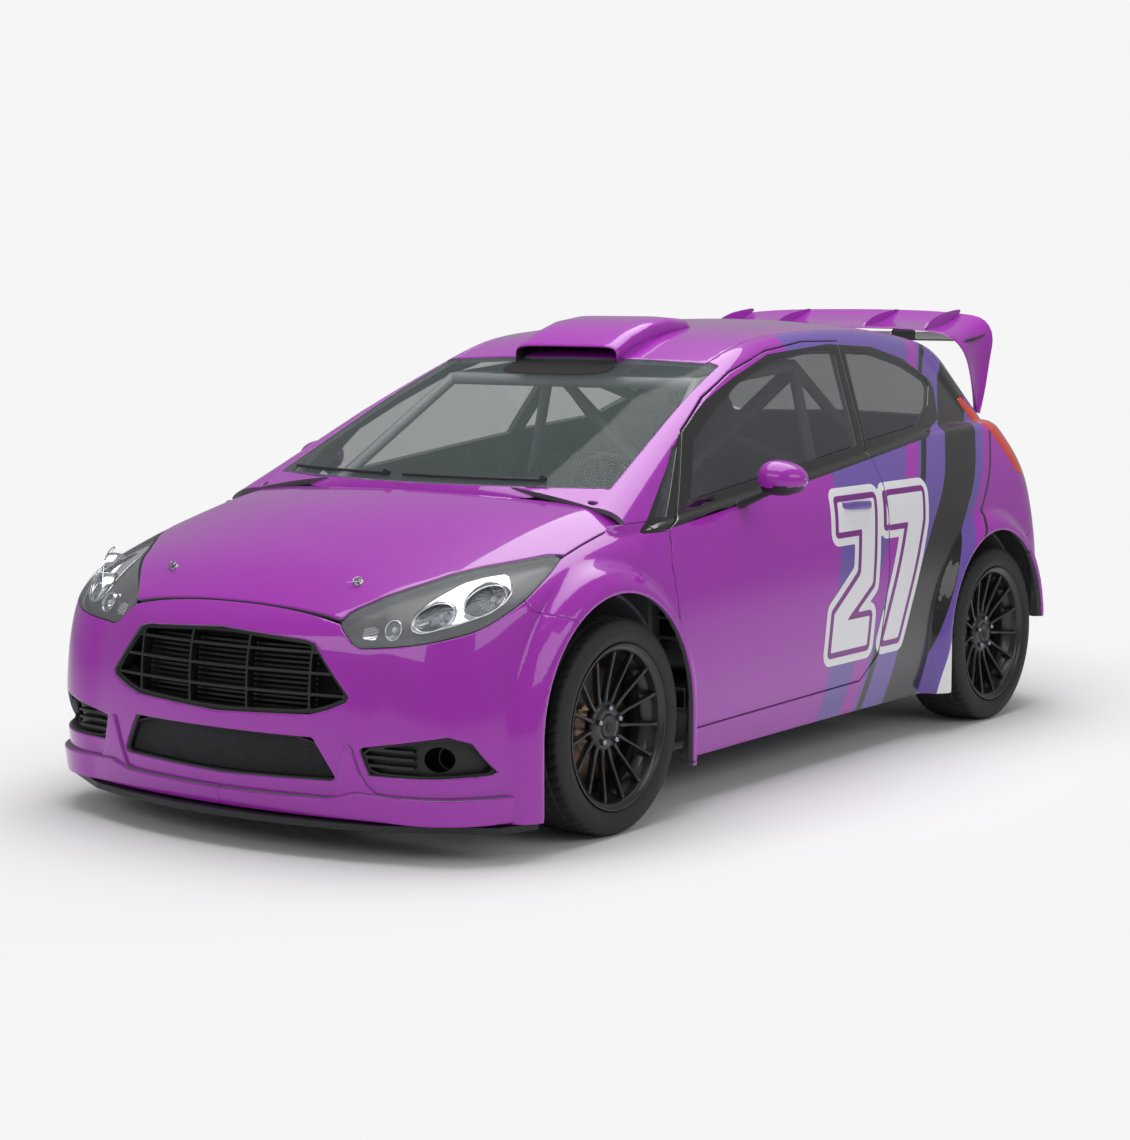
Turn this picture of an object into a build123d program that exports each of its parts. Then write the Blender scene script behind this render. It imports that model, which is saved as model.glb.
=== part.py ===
from build123d import *
import math
import os

# A small four-wheel-drive rally hatchback, in millimetres.
# +Z is up, the nose points along -Y, and +X is the car's left-hand side.
# The origin is on the ground, midway between nose and tail.

# ---- Driving dimensions ------------------------------------------------------
wheelbase = 2489.0
front_axle_y = -1190.0
rear_axle_y = front_axle_y + wheelbase
wheel_centre_x = 780.0
tyre_radius = 322.0
tyre_width = 225.0
rim_radius = 246.0
rim_width = 210.0
arch_half_width = 910.0
front_arch = (-1212.0, 330.0, 388.0)    # y, z and radius of the wheel-arch opening
rear_arch = (1290.0, 330.0, 378.0)
side_wall = 64.0        # whole thickness of a door or lower side wall
pillar_wall = 44.0      # whole thickness of a pillar, cant rail or window frame
hood_wall = 24.0
roof_wall = 30.0
glass_wall = 6.0
glass_inset = 3.0       # outer face of the glass inside the body's form
panel_gap = 6.0         # between a moving panel and the body
door_gap = 7.5          # at the door's outer edge; it widens inward
bonnet_rear_gap = 12.0  # behind the bonnet, where its edge swings back as it opens
hinge_gap = 12.0        # along a hinged edge, where the hinge barrels lie
hinge_radius = 5.0
hinge_pin_radius = 2.6
running_clearance = 0.3
tube_radius = 20.0      # roll cage tube
spoke_count = 15
nut_pitch_radius = 54.0
sill_z = 150.0          # underside of the sills
floor_z = 172.0
floor_wall = 24.0
tub_bottom_z = 110.0
far = 3000.0            # longer than the car, for cutters that pass right through

# ---- Body form tables ----------------------------------------------------------
# Lower body: plan outlines at heights z, from the sill to above the belt line.
# z, nose_y, nose_half, nose_end_y, front_half, front_y, mid_half, rear_half, rear_y,
# tail_half, tail_end_y, tail_y
LOWER_BODY = [
    (tub_bottom_z, -1925, 560, -1862, 846, -1600, 806, 846, 1640, 560, 1850, 1895),
    (260, -1952, 560, -1882, 856, -1600, 846, 856, 1640, 600, 1905, 1955),
    (480, -1962, 540, -1884, 852, -1600, 862, 862, 1640, 610, 1918, 1976),
    (650, -1930, 520, -1850, 842, -1560, 864, 862, 1635, 600, 1890, 1945),
    (780, -1845, 480, -1770, 822, -1500, 856, 852, 1625, 590, 1860, 1910),
    (900, -1700, 440, -1640, 776, -1400, 834, 832, 1600, 570, 1830, 1880),
    (1000, -1550, 400, -1500, 728, -1300, 786, 792, 1570, 540, 1790, 1838),
    (1090, -1400, 360, -1360, 684, -1200, 736, 742, 1530, 500, 1740, 1790),
]
# Greenhouse: plan outlines at heights z, from below the belt line to above the roof.
GREENHOUSE = [
    (900, -1262, 684, -1110, 786, -1030, 802, 770, 1560, 590, 1800, 1866),
    (1020, -1000, 652, -860, 732, -770, 766, 730, 1500, 566, 1748, 1812),
    (1180, -632, 608, -524, 664, -440, 692, 648, 1410, 530, 1656, 1712),
    (1360, -218, 558, -140, 586, -60, 600, 560, 1300, 486, 1530, 1580),
    (1520, 150, 514, 200, 520, 270, 522, 486, 1190, 440, 1400, 1440),
]
# Bonnet top surface: sections across the car at stations y.
# y, centre_z, shoulder_x, shoulder_z, edge_z (at edge_x)
BONNET_TOP = [
    (-2060, 540, 560, 500, 400),
    (-1930, 655, 560, 607, 505),
    (-1868, 704, 560, 655, 556),
    (-1740, 786, 570, 738, 650),
    (-1560, 860, 600, 808, 716),
    (-1355, 922, 620, 870, 768),
    (-1120, 970, 640, 926, 790),
    (-880, 1000, 650, 956, 800),
]
edge_x = 884.0
# Roof top surface: y, centre_z, shoulder_x, shoulder_z, edge_z
ROOF_TOP = [
    (-460, 1300, 540, 1268, 1060),
    (-180, 1374, 540, 1344, 1140),
    (60, 1438, 540, 1408, 1200),
    (320, 1470, 540, 1437, 1230),
    (640, 1484, 540, 1447, 1240),
    (940, 1480, 535, 1440, 1230),
    (1240, 1460, 530, 1412, 1200),
    (1500, 1422, 520, 1366, 1150),
    (1760, 1372, 510, 1310, 1090),
]
# Top of the tub behind the bonnet, along the belt line: y, z.
BELT = [(-882, 892), (500, 1034), (987, 1085), (1300, 1095), (2200, 1095)]

# ---- Panel outlines --------------------------------------------------------------
# Door, on the outer skin: x, y, z, clockwise from the lower front corner.
DOOR = [
    (846, -781, 248), (856, -792, 408), (852, -845, 763), (812, -818, 872), (790, -740, 905),
    (672, -532, 1150), (628, -330, 1248), (600, -121, 1322), (580, 141, 1386), (575, 400, 1412),
    (582, 640, 1410), (760, 512, 1030), (840, 512, 900), (862, 500, 600), (852, 446, 349),
    (846, 333, 264),
]
# Door window, the glass between its frames: x, y, z.
DOOR_WINDOW = [
    (730, -640, 945), (668, -490, 1120), (630, -300, 1210), (602, -110, 1286), (585, 150, 1352),
    (578, 400, 1378), (580, 585, 1376), (738, 470, 1058),
]
# Fixed windows: y, z.
FRONT_QUARTER = [(-868, 902), (-800, 906), (-590, 1110), (-618, 1106)]
REAR_QUARTER = [(548, 1070), (985, 1105), (1150, 1170), (1236, 1236), (1236, 1262), (1099, 1318), (879, 1364),
                (668, 1376)]
# Bonnet, on its skin: x, y, z of the left half from the centre of the nose.
BONNET_HALF = [(0, -1868, 704), (440, -1866, 692), (528, -1797, 739), (687, -1664, 798), (780, -1420, 815),
               (752, -990, 905), (540, -1024, 950)]
bonnet_rear_centre = (0, -1098, 972)
bonnet_shear = -0.30    # forward run of the bonnet's edges per height, so that it lifts clear
# Headlamp on a plane turned with the corner of the nose: u along it, z.
lamp_turn = 40.0
lamp_origin = (413.0, -1893.0)
HEADLAMP = [(0, 662), (45, 600), (117, 606), (253, 626), (387, 657), (512, 724), (600, 792), (648, 838),
            (357, 800), (150, 741), (35, 695)]
# Grille, lower mesh intake and fog bay of the left half: x, z.
GRILLE_HALF = [(0, 636), (300, 618), (338, 608), (456, 466), (448, 450), (390, 425), (330, 408), (0, 393)]
INTAKE_HALF = [(0, 344), (342, 344), (410, 232), (392, 222), (0, 210)]
FOG_BAY = [(487, 324), (649, 352), (741, 368), (789, 349), (832, 257), (716, 250), (513, 246)]
# Windscreen in the front view: x, z of its corners and top centre.
screen_bottom_z = 992.0
SCREEN_CORNERS = [(662, screen_bottom_z), (560, 1350)]
screen_top_centre_z = 1366.0
# Tailgate in the rear view: x, z of the left half, and the rear window in it.
# Its upper sides lean: they narrow forward from the skin at skin_y, so that the tailgate lifts clear.
# x, z, skin_y, lean.
TAILGATE_HALF = [(0, 640, 0, 0), (560, 640, 0, 0), (596, 700, 0, 0), (600, 900, 0, 0), (570, 1150, 1640, 0.4),
                 (520, 1330, 1520, 0.4), (478, 1560, 0, 0), (0, 1560, 0, 0)]
REAR_WINDOW_HALF = [(0, 1112), (500, 1100), (505, 1150), (452, 1320), (430, 1345), (0, 1352)]
tailgate_hinge_y = 1337.0
tailgate_hinge_z = 1440.0
# Tail lamp: y, z in the side view.
TAIL_LAMP = [(1431, 1183), (1475, 1190), (1560, 1120), (1700, 935), (1690, 880), (1583, 905)]
# Lower edge of the tail behind the rear wheels: y, z.
UNDER_TAIL = [(1560, 385), (1700, 345), (1985, 300), (2300, 300)]
# Bumper split lines: y, z.
bumper_split = [(-1560, 700), (-1440, 664)]


def plan_outline(row, inset):
    """Closed plan outline of eight arcs: nose, corners, sides and tail."""
    z, nose_y, nose_x, nose_end, front_x, front_y, mid_x, rear_x, rear_y, tail_x, tail_end, tail_y = row
    nose_y, nose_end, nose_x = nose_y + inset, nose_end + inset, nose_x - inset * 0.4
    tail_y, tail_end, tail_x = tail_y - inset, tail_end - inset, tail_x - inset * 0.4
    front_x, mid_x, rear_x = front_x - inset, mid_x - inset, rear_x - inset
    bulge = 0.70
    corner_f = (nose_x + (front_x - nose_x) * bulge, nose_end + (front_y - nose_end) * (1 - bulge))
    corner_r = (tail_x + (rear_x - tail_x) * bulge, tail_end + (rear_y - tail_end) * (1 - bulge))
    mid_y = (front_y + rear_y) / 2
    with BuildSketch(Plane.XY.offset(z)) as outline:
        with BuildLine():
            for s in (1, -1):
                ThreePointArc((s * nose_x, nose_end), (s * corner_f[0], corner_f[1]), (s * front_x, front_y))
                ThreePointArc((s * front_x, front_y), (s * mid_x, mid_y), (s * rear_x, rear_y))
                ThreePointArc((s * rear_x, rear_y), (s * corner_r[0], corner_r[1]), (s * tail_x, tail_end))
            ThreePointArc((-nose_x, nose_end), (0, nose_y), (nose_x, nose_end))
            ThreePointArc((tail_x, tail_end), (0, tail_y), (-tail_x, tail_end))
        make_face()
    return outline.sketch


def plan_loft(table, inset):
    """Upright solid through a table of plan outlines, each moved inward by the inset."""
    with BuildPart() as form:
        for row in table:
            add(plan_outline(row, inset))
        loft()
    return form.part


def crown_loft(table, drop, bottom_z):
    """Solid under a crowned surface: a wide block whose top follows the table."""
    with BuildPart() as form:
        for y, centre_z, shoulder_x, shoulder_z, side_z in table:
            middle = (centre_z - drop, shoulder_z - drop, side_z - drop)
            mid_x = (shoulder_x + edge_x) / 2
            mid_z = middle[1] * 0.62 + middle[2] * 0.38
            with BuildSketch(Plane.XZ.offset(-y)):
                with BuildLine():
                    ThreePointArc((-shoulder_x, middle[1]), (0, middle[0]), (shoulder_x, middle[1]))
                    for s in (1, -1):
                        ThreePointArc((s * shoulder_x, middle[1]), (s * mid_x, mid_z), (s * edge_x, middle[2]))
                        Line((s * edge_x, middle[2]), (s * edge_x, bottom_z))
                    Line((-edge_x, bottom_z), (edge_x, bottom_z))
                make_face()
        loft()
    return form.part


def prism(plane, points, length, grow=0.0):
    """Straight prism on a plane from a closed outline, grown outward by a clearance."""
    with BuildPart() as block:
        with BuildSketch(plane):
            with BuildLine():
                Polyline(*points, close=True)
            make_face()
            if grow:
                offset(amount=grow, kind=Kind.INTERSECTION)
        extrude(amount=length)
    return block.part


def side_prism(points, x_from, x_to, grow=0.0):
    """Prism across the car from an outline of (y, z) points."""
    return prism(Plane.YZ.offset(x_from), points, x_to - x_from, grow)


def front_prism(points, y_from, y_to, grow=0.0):
    """Prism along the car from an outline of (x, z) points."""
    return prism(Plane.XZ.offset(-y_to), points, y_to - y_from, grow)


def plan_prism(points, z_from, z_to, grow=0.0):
    """Upright prism from an outline of (x, y) points."""
    return prism(Plane.XY.offset(z_from), points, z_to - z_from, grow)


def both_halves(half):
    """Whole symmetric outline from the points of its left half."""
    return list(half) + [(-x, v) for x, v in reversed(half) if x > 0]


def drafted_plug(skin_points, draft, grow, outer_x, inner_x):
    """Plug through the side from an outline on the skin, narrowing inward by the draft."""
    middle_y = sum(p[1] for p in skin_points) / len(skin_points)
    middle_z = sum(p[2] for p in skin_points) / len(skin_points)
    count = len(skin_points)
    outer, inner = [], []
    for i, (x, y, z) in enumerate(skin_points):
        before, after = skin_points[i - 1], skin_points[(i + 1) % count]
        side = Vector(after[2] - before[2], before[1] - after[1])
        if side.X * (y - middle_y) + side.Y * (z - middle_z) < 0:
            side = side * -1
        side = side.normalized()
        out_run = grow + draft * (outer_x - x)
        in_run = grow - draft * (x - inner_x)
        outer.append((y + side.X * out_run, z + side.Y * out_run))
        inner.append((y + side.X * in_run, z + side.Y * in_run))
    with BuildPart() as plug:
        for x, points in ((inner_x, inner), (outer_x, outer)):
            with BuildSketch(Plane.YZ.offset(x)):
                with BuildLine():
                    Polyline(*points, close=True)
                make_face()
        loft(ruled=True)
    return plug.part


def axle_cylinder(y, z, radius, x_from, x_to):
    """Cylinder across the car between two x values."""
    with BuildPart() as barrel:
        with BuildSketch(Plane.YZ.offset(x_from)):
            with Locations((y, z)):
                Circle(radius)
        extrude(amount=x_to - x_from)
    return barrel.part


def bar(start, end, radius):
    """Round bar between two points."""
    a, b = Vector(*start), Vector(*end)
    with BuildPart() as rod:
        with BuildSketch(Plane(origin=a, z_dir=b - a)):
            Circle(radius)
        extrude(amount=(b - a).length)
    return rod.part


def ball(centre, radius):
    """Sphere at a point."""
    with BuildPart() as knob:
        with Locations(centre):
            Sphere(radius)
    return knob.part


def block(x, y, z):
    """Box from three (low, high) pairs."""
    with BuildPart() as box:
        with Locations(((x[0] + x[1]) / 2, (y[0] + y[1]) / 2, (z[0] + z[1]) / 2)):
            Box(x[1] - x[0], y[1] - y[0], z[1] - z[0])
    return box.part


def tube_frame(points, radius):
    """Straight tubes through a list of points, with a ball at each inner joint."""
    with BuildPart() as frame:
        for start, end in zip(points, points[1:]):
            add(bar(start, end, radius))
        for corner in points[1:-1]:
            add(ball(corner, radius))
    return frame.part


def mirrored(shape):
    """The same shape on the car's right-hand side."""
    return mirror(shape, about=Plane.YZ)


def write(name, part):
    """Label one finished piece and write it as a STEP file."""
    part.label = name
    export_step(part, f"parts/{name}.step")


os.makedirs("parts", exist_ok=True)

# ---- Body forms ------------------------------------------------------------------


def lower_form(plan, drop):
    """Lower body solid: the tub's plan form under the bonnet surface and the belt line."""
    belt = [(y, z - drop) for y, z in BELT]
    with BuildPart() as form:
        add(crown_loft(BONNET_TOP, drop, -10))
        add(side_prism([(BELT[0][0], -10), *belt, (BELT[-1][0], -10)], -far, far))
        add(plan, mode=Mode.INTERSECT)
    return form.part


def cabin_form(wall, drop):
    """Greenhouse solid: windscreen, side windows and tail under the roof surface."""
    with BuildPart() as form:
        add(crown_loft(ROOF_TOP, drop, 600))
        add(block((-far, far), (-1500, ROOF_TOP[0][0] + 1), (600, ROOF_TOP[0][1] - drop)))
        add(plan_loft(GREENHOUSE, wall), mode=Mode.INTERSECT)
    return form.part


# Flare section: x, and radius beyond the arch opening.
FLARE = [(760, -8), (arch_half_width - 6, -8), (arch_half_width, 10), (arch_half_width - 8, 30),
         (arch_half_width - 36, 66), (760, 110)]


def flare(arch, legs_to_z, back_y):
    """Wheel-arch flare: a half ring about the opening with straight legs down, cut at back_y and at the door."""
    arch_y, arch_z, opening = arch
    with BuildPart() as lip:
        with BuildSketch(Plane.XZ.offset(-arch_y)):
            with BuildLine():
                Polyline(*[(x, arch_z + opening + r) for x, r in FLARE], close=True)
            make_face()
        revolve(axis=Axis((0, arch_y, arch_z), (1, 0, 0)), revolution_arc=360)
        add(block((-far, far), (-far, far), (-far, arch_z)), mode=Mode.SUBTRACT)
        for s in (1, -1):
            with BuildSketch(Plane.XY.offset(legs_to_z)):
                with BuildLine():
                    Polyline(*[(x, arch_y + s * (opening + r)) for x, r in FLARE], close=True)
                make_face()
            extrude(amount=arch_z - legs_to_z)
        add(block((-far, far), (back_y, 2 * far), (-far, far)), mode=Mode.SUBTRACT)
        add(door_plug, mode=Mode.SUBTRACT)
    return lip.part


def arch_cutter(arch, x_from, x_to, less=0.0):
    """Wheel-arch opening: a half round with straight sides down to the ground."""
    arch_y, arch_z, opening = arch
    with BuildPart() as cutter:
        add(axle_cylinder(arch_y, arch_z, opening - less, x_from, x_to))
        add(block((x_from, x_to), (arch_y - opening + less, arch_y + opening - less), (-10, arch_z)))
    return cutter.part


door_front_y = -796.0
door_draft = 0.10           # the door narrows inward
door_hole_spread = 0.25     # and its opening widens inward, so that the door's edge swings clear
door_plug = drafted_plug(DOOR, door_draft, 0, 960, 460)
plan_outer = plan_loft(LOWER_BODY, 0)
lower_outer = lower_form(plan_outer, 0)
lower_inner = lower_form(plan_loft(LOWER_BODY, side_wall), hood_wall)
hood_under = lower_form(plan_outer, hood_wall)
cabin_outer = cabin_form(0, 0)
cabin_inner = cabin_form(pillar_wall, roof_wall)
front_flare = flare(front_arch, tub_bottom_z, door_front_y)
rear_flare = flare(rear_arch, sill_z, far)
under_tail = side_prism([(1560, -20), *UNDER_TAIL, (2300, -20)], -far, far)
arches = [arch_cutter(front_arch, -far, far), arch_cutter(rear_arch, -far, far)]

with BuildPart() as shell:
    add(lower_outer)
    add(cabin_outer)
    add([front_flare, mirrored(front_flare), rear_flare, mirrored(rear_flare)])
    add(lower_inner, mode=Mode.SUBTRACT)
    add(cabin_inner, mode=Mode.SUBTRACT)
    add(block((-690, 690), (-860, 1500), (800, 960)), mode=Mode.SUBTRACT)
    add([*arches, under_tail], mode=Mode.SUBTRACT)

# ---- Cutters for the panels --------------------------------------------------------


def bonnet_plug(grow, rear_grow):
    """Upright plug of the bonnet, leaning forward as it rises so that the bonnet lifts clear."""
    base_z = 500.0
    lean = [(x, y - bonnet_shear * (z - base_z)) for x, y, z in BONNET_HALF]
    centre_x, centre_y, centre_z = bonnet_rear_centre
    centre = (centre_x, centre_y - bonnet_shear * (centre_z - base_z) + rear_grow)
    left = lean[1:5] + [(x, y + rear_grow) for x, y in lean[5:]]
    with BuildPart() as plug:
        with BuildSketch(Plane.XY.offset(base_z)):
            with BuildLine():
                Polyline(*reversed(left), *[(-x, y) for x, y in left])
                ThreePointArc(left[-1], centre, (-left[-1][0], left[-1][1]))
            make_face()
            if grow:
                offset(amount=grow, kind=Kind.INTERSECTION)
        extrude(amount=700, dir=(0, bonnet_shear, 1))
    return plug.part


def tail_plug(start_y, grow):
    """Plug along the car from start_y rearward on the tailgate's outline, with its leaning sides."""
    end_y = 2200.0
    with BuildPart() as plug:
        for y in (start_y, end_y):
            half = [(x + lean * (y - skin_y), z) for x, z, skin_y, lean in TAILGATE_HALF]
            with BuildSketch(Plane.XZ.offset(-y)):
                with BuildLine():
                    Polyline(*both_halves(half), close=True)
                make_face()
                if grow:
                    offset(amount=grow, kind=Kind.INTERSECTION)
        loft(ruled=True)
    return plug.part


def lamp_plug(grow):
    """Prism through the corner of the nose along the headlamp's outline."""
    turn = math.radians(lamp_turn)
    plane = Plane(origin=(*lamp_origin, 0), x_dir=(math.cos(turn), math.sin(turn), 0),
                  z_dir=(math.sin(turn), -math.cos(turn), 0))
    return prism(plane.offset(-260), HEADLAMP, 600, grow)


bonnet_hole = bonnet_plug(panel_gap, bonnet_rear_gap - panel_gap)
lamp_hole = lamp_plug(0)
screen_hole = front_prism([(-SCREEN_CORNERS[0][0], screen_bottom_z), SCREEN_CORNERS[0], SCREEN_CORNERS[1],
                           (0, screen_top_centre_z), (-SCREEN_CORNERS[1][0], SCREEN_CORNERS[1][1])], -1400, 0)
tailgate_plug = tail_plug(tailgate_hinge_y + hinge_gap / 2, 0)
tailgate_hole = tail_plug(tailgate_hinge_y - hinge_gap / 2, panel_gap)
rear_window_hole = front_prism(both_halves(REAR_WINDOW_HALF), 1400, far)
door_hole = drafted_plug(DOOR, -door_hole_spread, door_gap, 960, 460)
door_window_hole = drafted_plug(DOOR_WINDOW, 0.0, 0, 960, 460)
front_quarter_hole = side_prism(FRONT_QUARTER, 460, far)
rear_quarter_hole = side_prism(REAR_QUARTER, 460, far)
tail_lamp_block = side_prism(TAIL_LAMP, 500, far)
bumper_region = side_prism([(-2300, 50), (-1440, 50), *reversed(bumper_split), (-1600, 790), (-1700, 800),
                            (-2300, 800)], -far, far)
fender_region = side_prism([(-1440, 50), *reversed(bumper_split), (-1600, 790), (-1700, 800), (-1700, 1010),
                            (-1080, 1010), (-1080, 899), (-905, 899), (-900, 868), (-838, 868), (-768, 408),
                            (-768, 243), (-800, 243), (-800, 165), (-1000, 165), (-1000, 50)], 0, far)
cowl_region = block((-650, 650), (-1210, -880), (860, screen_bottom_z))
roof_region = block((-520, 520), (-420, tailgate_hinge_y - hinge_gap / 2), (1300, 1600))
rear_bumper_region = side_prism([(1560, 50), (1560, 640), (1700, 690), (2300, 690), (2300, 50)], -far, far)
half_space = block((0, far), (-far, far), (-10, far))
door_pillar_x = 736.0   # outer face of the pillar that carries the door hinges
door_hinge_x = 840.0
door_hinge_y = -769.0
door_hinges_z = (345.0, 560.0)
bonnet_hinge_y = -979.0
bonnet_hinge_z = 930.0
bonnet_hinges_x = 590.0
tailgate_hinges_x = 150.0
exhaust_x = -380.0
nose_openings_y = -1640.0   # how far back the grille openings run

with BuildPart() as half_shell:
    add(shell.part)
    add(half_space, mode=Mode.INTERSECT)


def hinge_leaf(centre, axis, leaf, arm, lengths, radius, bore):
    """Hinge sleeve about an axis, with an arm towards the panel; bored for its pin if bore > 0."""
    low, high = lengths
    c, a, d = Vector(*centre), Vector(*axis), Vector(*leaf)
    with BuildPart() as sleeve:
        with BuildSketch(Plane(origin=c + a * low, z_dir=a, x_dir=d)):
            Circle(radius)
            with Locations((arm / 2, 0)):
                Rectangle(arm, radius * 1.1)
            if bore:
                Circle(bore, mode=Mode.SUBTRACT)
        extrude(amount=high - low)
    return sleeve.part


def hinge(centre, axis, moving_arm, fixed_arm, half, radius=hinge_radius, pin=hinge_pin_radius):
    """Moving sleeve, and fixed pin with a lug at each end, of one hinge."""
    moving = hinge_leaf(centre, axis, moving_arm[0], moving_arm[1], (-half, half), radius,
                        pin + running_clearance)
    with BuildPart() as fixed:
        for low, high in ((-half - 9, -half - 0.5), (half + 0.5, half + 9)):
            add(hinge_leaf(centre, axis, fixed_arm[0], fixed_arm[1], (low, high), radius, 0))
        ends = [Vector(*centre) + Vector(*axis) * s * (half + 5) for s in (-1, 1)]
        add(bar(tuple(ends[0]), tuple(ends[1]), pin))
    return moving, fixed.part

# ---- Chassis panels ------------------------------------------------------------------
with BuildPart() as front_bumper:
    add(shell.part)
    add(bumper_region, mode=Mode.INTERSECT)
    add([bonnet_hole, lamp_hole, mirrored(lamp_hole)], mode=Mode.SUBTRACT)
    add(front_prism(both_halves(GRILLE_HALF), -far, nose_openings_y), mode=Mode.SUBTRACT)
    add(front_prism(both_halves(INTAKE_HALF), -far, nose_openings_y), mode=Mode.SUBTRACT)
    fog_hole = front_prism(FOG_BAY, -far, nose_openings_y)
    add([fog_hole, mirrored(fog_hole)], mode=Mode.SUBTRACT)
write("front_bumper", front_bumper.part)

with BuildPart() as fender_left:
    add(half_shell.part)
    add(fender_region, mode=Mode.INTERSECT)
    add([bonnet_hole, lamp_hole, cowl_region, door_hole, front_quarter_hole, screen_hole], mode=Mode.SUBTRACT)
write("fender_left", fender_left.part)
write("fender_right", mirrored(fender_left.part))

# Room for the bonnet's rear edge as it swings up: half widths and distances from the hinge axis.
BONNET_SWING = [(0, 107), (265, 88), (354, 73.5), (428, 55), (500, 30), (560, 22), (560, 6),
                (622, 6), (622, 22), (655, 22), (655, 300), (0, 300)]
with BuildPart() as bonnet_swing:
    with BuildSketch(Plane(origin=(0, bonnet_hinge_y, bonnet_hinge_z), x_dir=(1, 0, 0), z_dir=(0, 0.2, -1))):
        with BuildLine():
            Polyline(*both_halves(BONNET_SWING), close=True)
        make_face()
    revolve(axis=Axis((0, bonnet_hinge_y, bonnet_hinge_z), (-1, 0, 0)), revolution_arc=92)
with BuildPart() as cowl:
    add(shell.part)
    add(cowl_region, mode=Mode.INTERSECT)
    add([bonnet_hole, bonnet_swing.part], mode=Mode.SUBTRACT)
bonnet_hinge_pair = [hinge((s * bonnet_hinges_x, bonnet_hinge_y, bonnet_hinge_z), (1, 0, 0), ((0, -1, 0), 46),
                           ((0, 0.37, 0.93), 42), 20) for s in (1, -1)]
with BuildPart() as cowl_panel:
    add(cowl.part)
    add([fixed for moving, fixed in bonnet_hinge_pair])
write("cowl", cowl_panel.part)

with BuildPart() as roof_panel:
    add(shell.part)
    add(roof_region, mode=Mode.INTERSECT)
    add(screen_hole, mode=Mode.SUBTRACT)
    tailgate_hinge_pair = [hinge((s * tailgate_hinges_x, tailgate_hinge_y, tailgate_hinge_z), (1, 0, 0),
                                 ((0, 1, 0), 9), ((0, -1, 0), 9), 20) for s in (1, -1)]
    add([fixed for moving, fixed in tailgate_hinge_pair])
write("roof_panel", roof_panel.part)

with BuildPart() as rear_bumper:
    add(shell.part)
    add(rear_bumper_region, mode=Mode.INTERSECT)
    add(tailgate_hole, mode=Mode.SUBTRACT)
write("rear_bumper", rear_bumper.part)

scuttle_half = 464.0    # half width of the open scuttle below the windscreen
corner_relief = (640, 668), (-1010, -990), (938, 960)    # lets the opening bonnet's rear corner by
with BuildPart() as side_left:
    add(half_shell.part)
    add([bumper_region, fender_region, cowl_region, roof_region, rear_bumper_region, tailgate_hole, screen_hole,
         door_hole, front_quarter_hole, rear_quarter_hole, tail_lamp_block, bonnet_hole, lamp_hole],
        mode=Mode.SUBTRACT)
    add(block((0, far), (-far, far), (-10, sill_z)), mode=Mode.SUBTRACT)
    add(block((0, scuttle_half), (-890, -850), (860, 898)), mode=Mode.SUBTRACT)
    add(block(*corner_relief), mode=Mode.SUBTRACT)
write("side_left", side_left.part)
write("side_right", mirrored(side_left.part))

with BuildPart() as tail_lamp:
    add(half_shell.part)
    add(tail_lamp_block, mode=Mode.INTERSECT)
    add([tailgate_hole, rear_bumper_region, rear_quarter_hole], mode=Mode.SUBTRACT)
with BuildPart() as tail_lamps:
    add(tail_lamp.part)
    add(mirrored(tail_lamp.part))
write("tail_lamps", tail_lamps.part)

# ---- Moving panels ---------------------------------------------------------------------
with BuildPart() as door:
    add(half_shell.part)
    add(door_plug, mode=Mode.INTERSECT)
    add(door_window_hole, mode=Mode.SUBTRACT)
    for hinge_z in door_hinges_z:
        add(block((door_hinge_x - 90, door_hinge_x + hinge_radius + 1), (door_hinge_y - 90, door_hinge_y + 16),
                  (hinge_z - 46, hinge_z + 46)), mode=Mode.SUBTRACT)
    door_hinge_set = [hinge((door_hinge_x, door_hinge_y, z), (0, 0, 1), ((0, 1, 0), 24),
                            ((-1, 0, 0), door_hinge_x - door_pillar_x + 4), 26) for z in door_hinges_z]
    add([moving for moving, fixed in door_hinge_set])
write("door_left", door.part)
write("door_right", mirrored(door.part))

with BuildPart() as bonnet:
    add(lower_outer)
    add(hood_under, mode=Mode.SUBTRACT)
    add(bonnet_plug(0, 0), mode=Mode.INTERSECT)
    add([lamp_plug(panel_gap), mirrored(lamp_plug(panel_gap))], mode=Mode.SUBTRACT)
    add([moving for moving, fixed in bonnet_hinge_pair])
write("bonnet", bonnet.part)

with BuildPart() as tailgate:
    add(shell.part)
    add(tailgate_plug, mode=Mode.INTERSECT)
    add(rear_window_hole, mode=Mode.SUBTRACT)
    add([moving for moving, fixed in tailgate_hinge_pair])
write("tailgate", tailgate.part)

# ---- Glass -----------------------------------------------------------------------------
glass_form = [plan_loft(GREENHOUSE, glass_inset + wall) for wall in (0, glass_wall, 2.2 * glass_wall)]


def pane(hole, inner):
    """Glass of the greenhouse's own curve, cut to one window opening."""
    with BuildPart() as glass:
        add(glass_form[0])
        add(glass_form[inner], mode=Mode.SUBTRACT)
        add(hole, mode=Mode.INTERSECT)
    return glass.part


windscreen = pane(screen_hole, 2)
write("windscreen", windscreen)
door_glass = pane(door_window_hole, 1)
write("door_glass_left", door_glass)
write("door_glass_right", mirrored(door_glass))
quarter = [pane(front_quarter_hole, 1), pane(rear_quarter_hole, 1)]
with BuildPart() as side_windows:
    add(quarter)
    add([mirrored(p) for p in quarter])
write("side_windows", side_windows.part)
rear_glass = pane(rear_window_hole, 1)
write("rear_glass", rear_glass)

with BuildPart() as headlamp:
    add(half_shell.part)
    add(lamp_hole, mode=Mode.INTERSECT)
with BuildPart() as headlamps:
    add(headlamp.part)
    add(mirrored(headlamp.part))
write("headlamps", headlamps.part)

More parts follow.
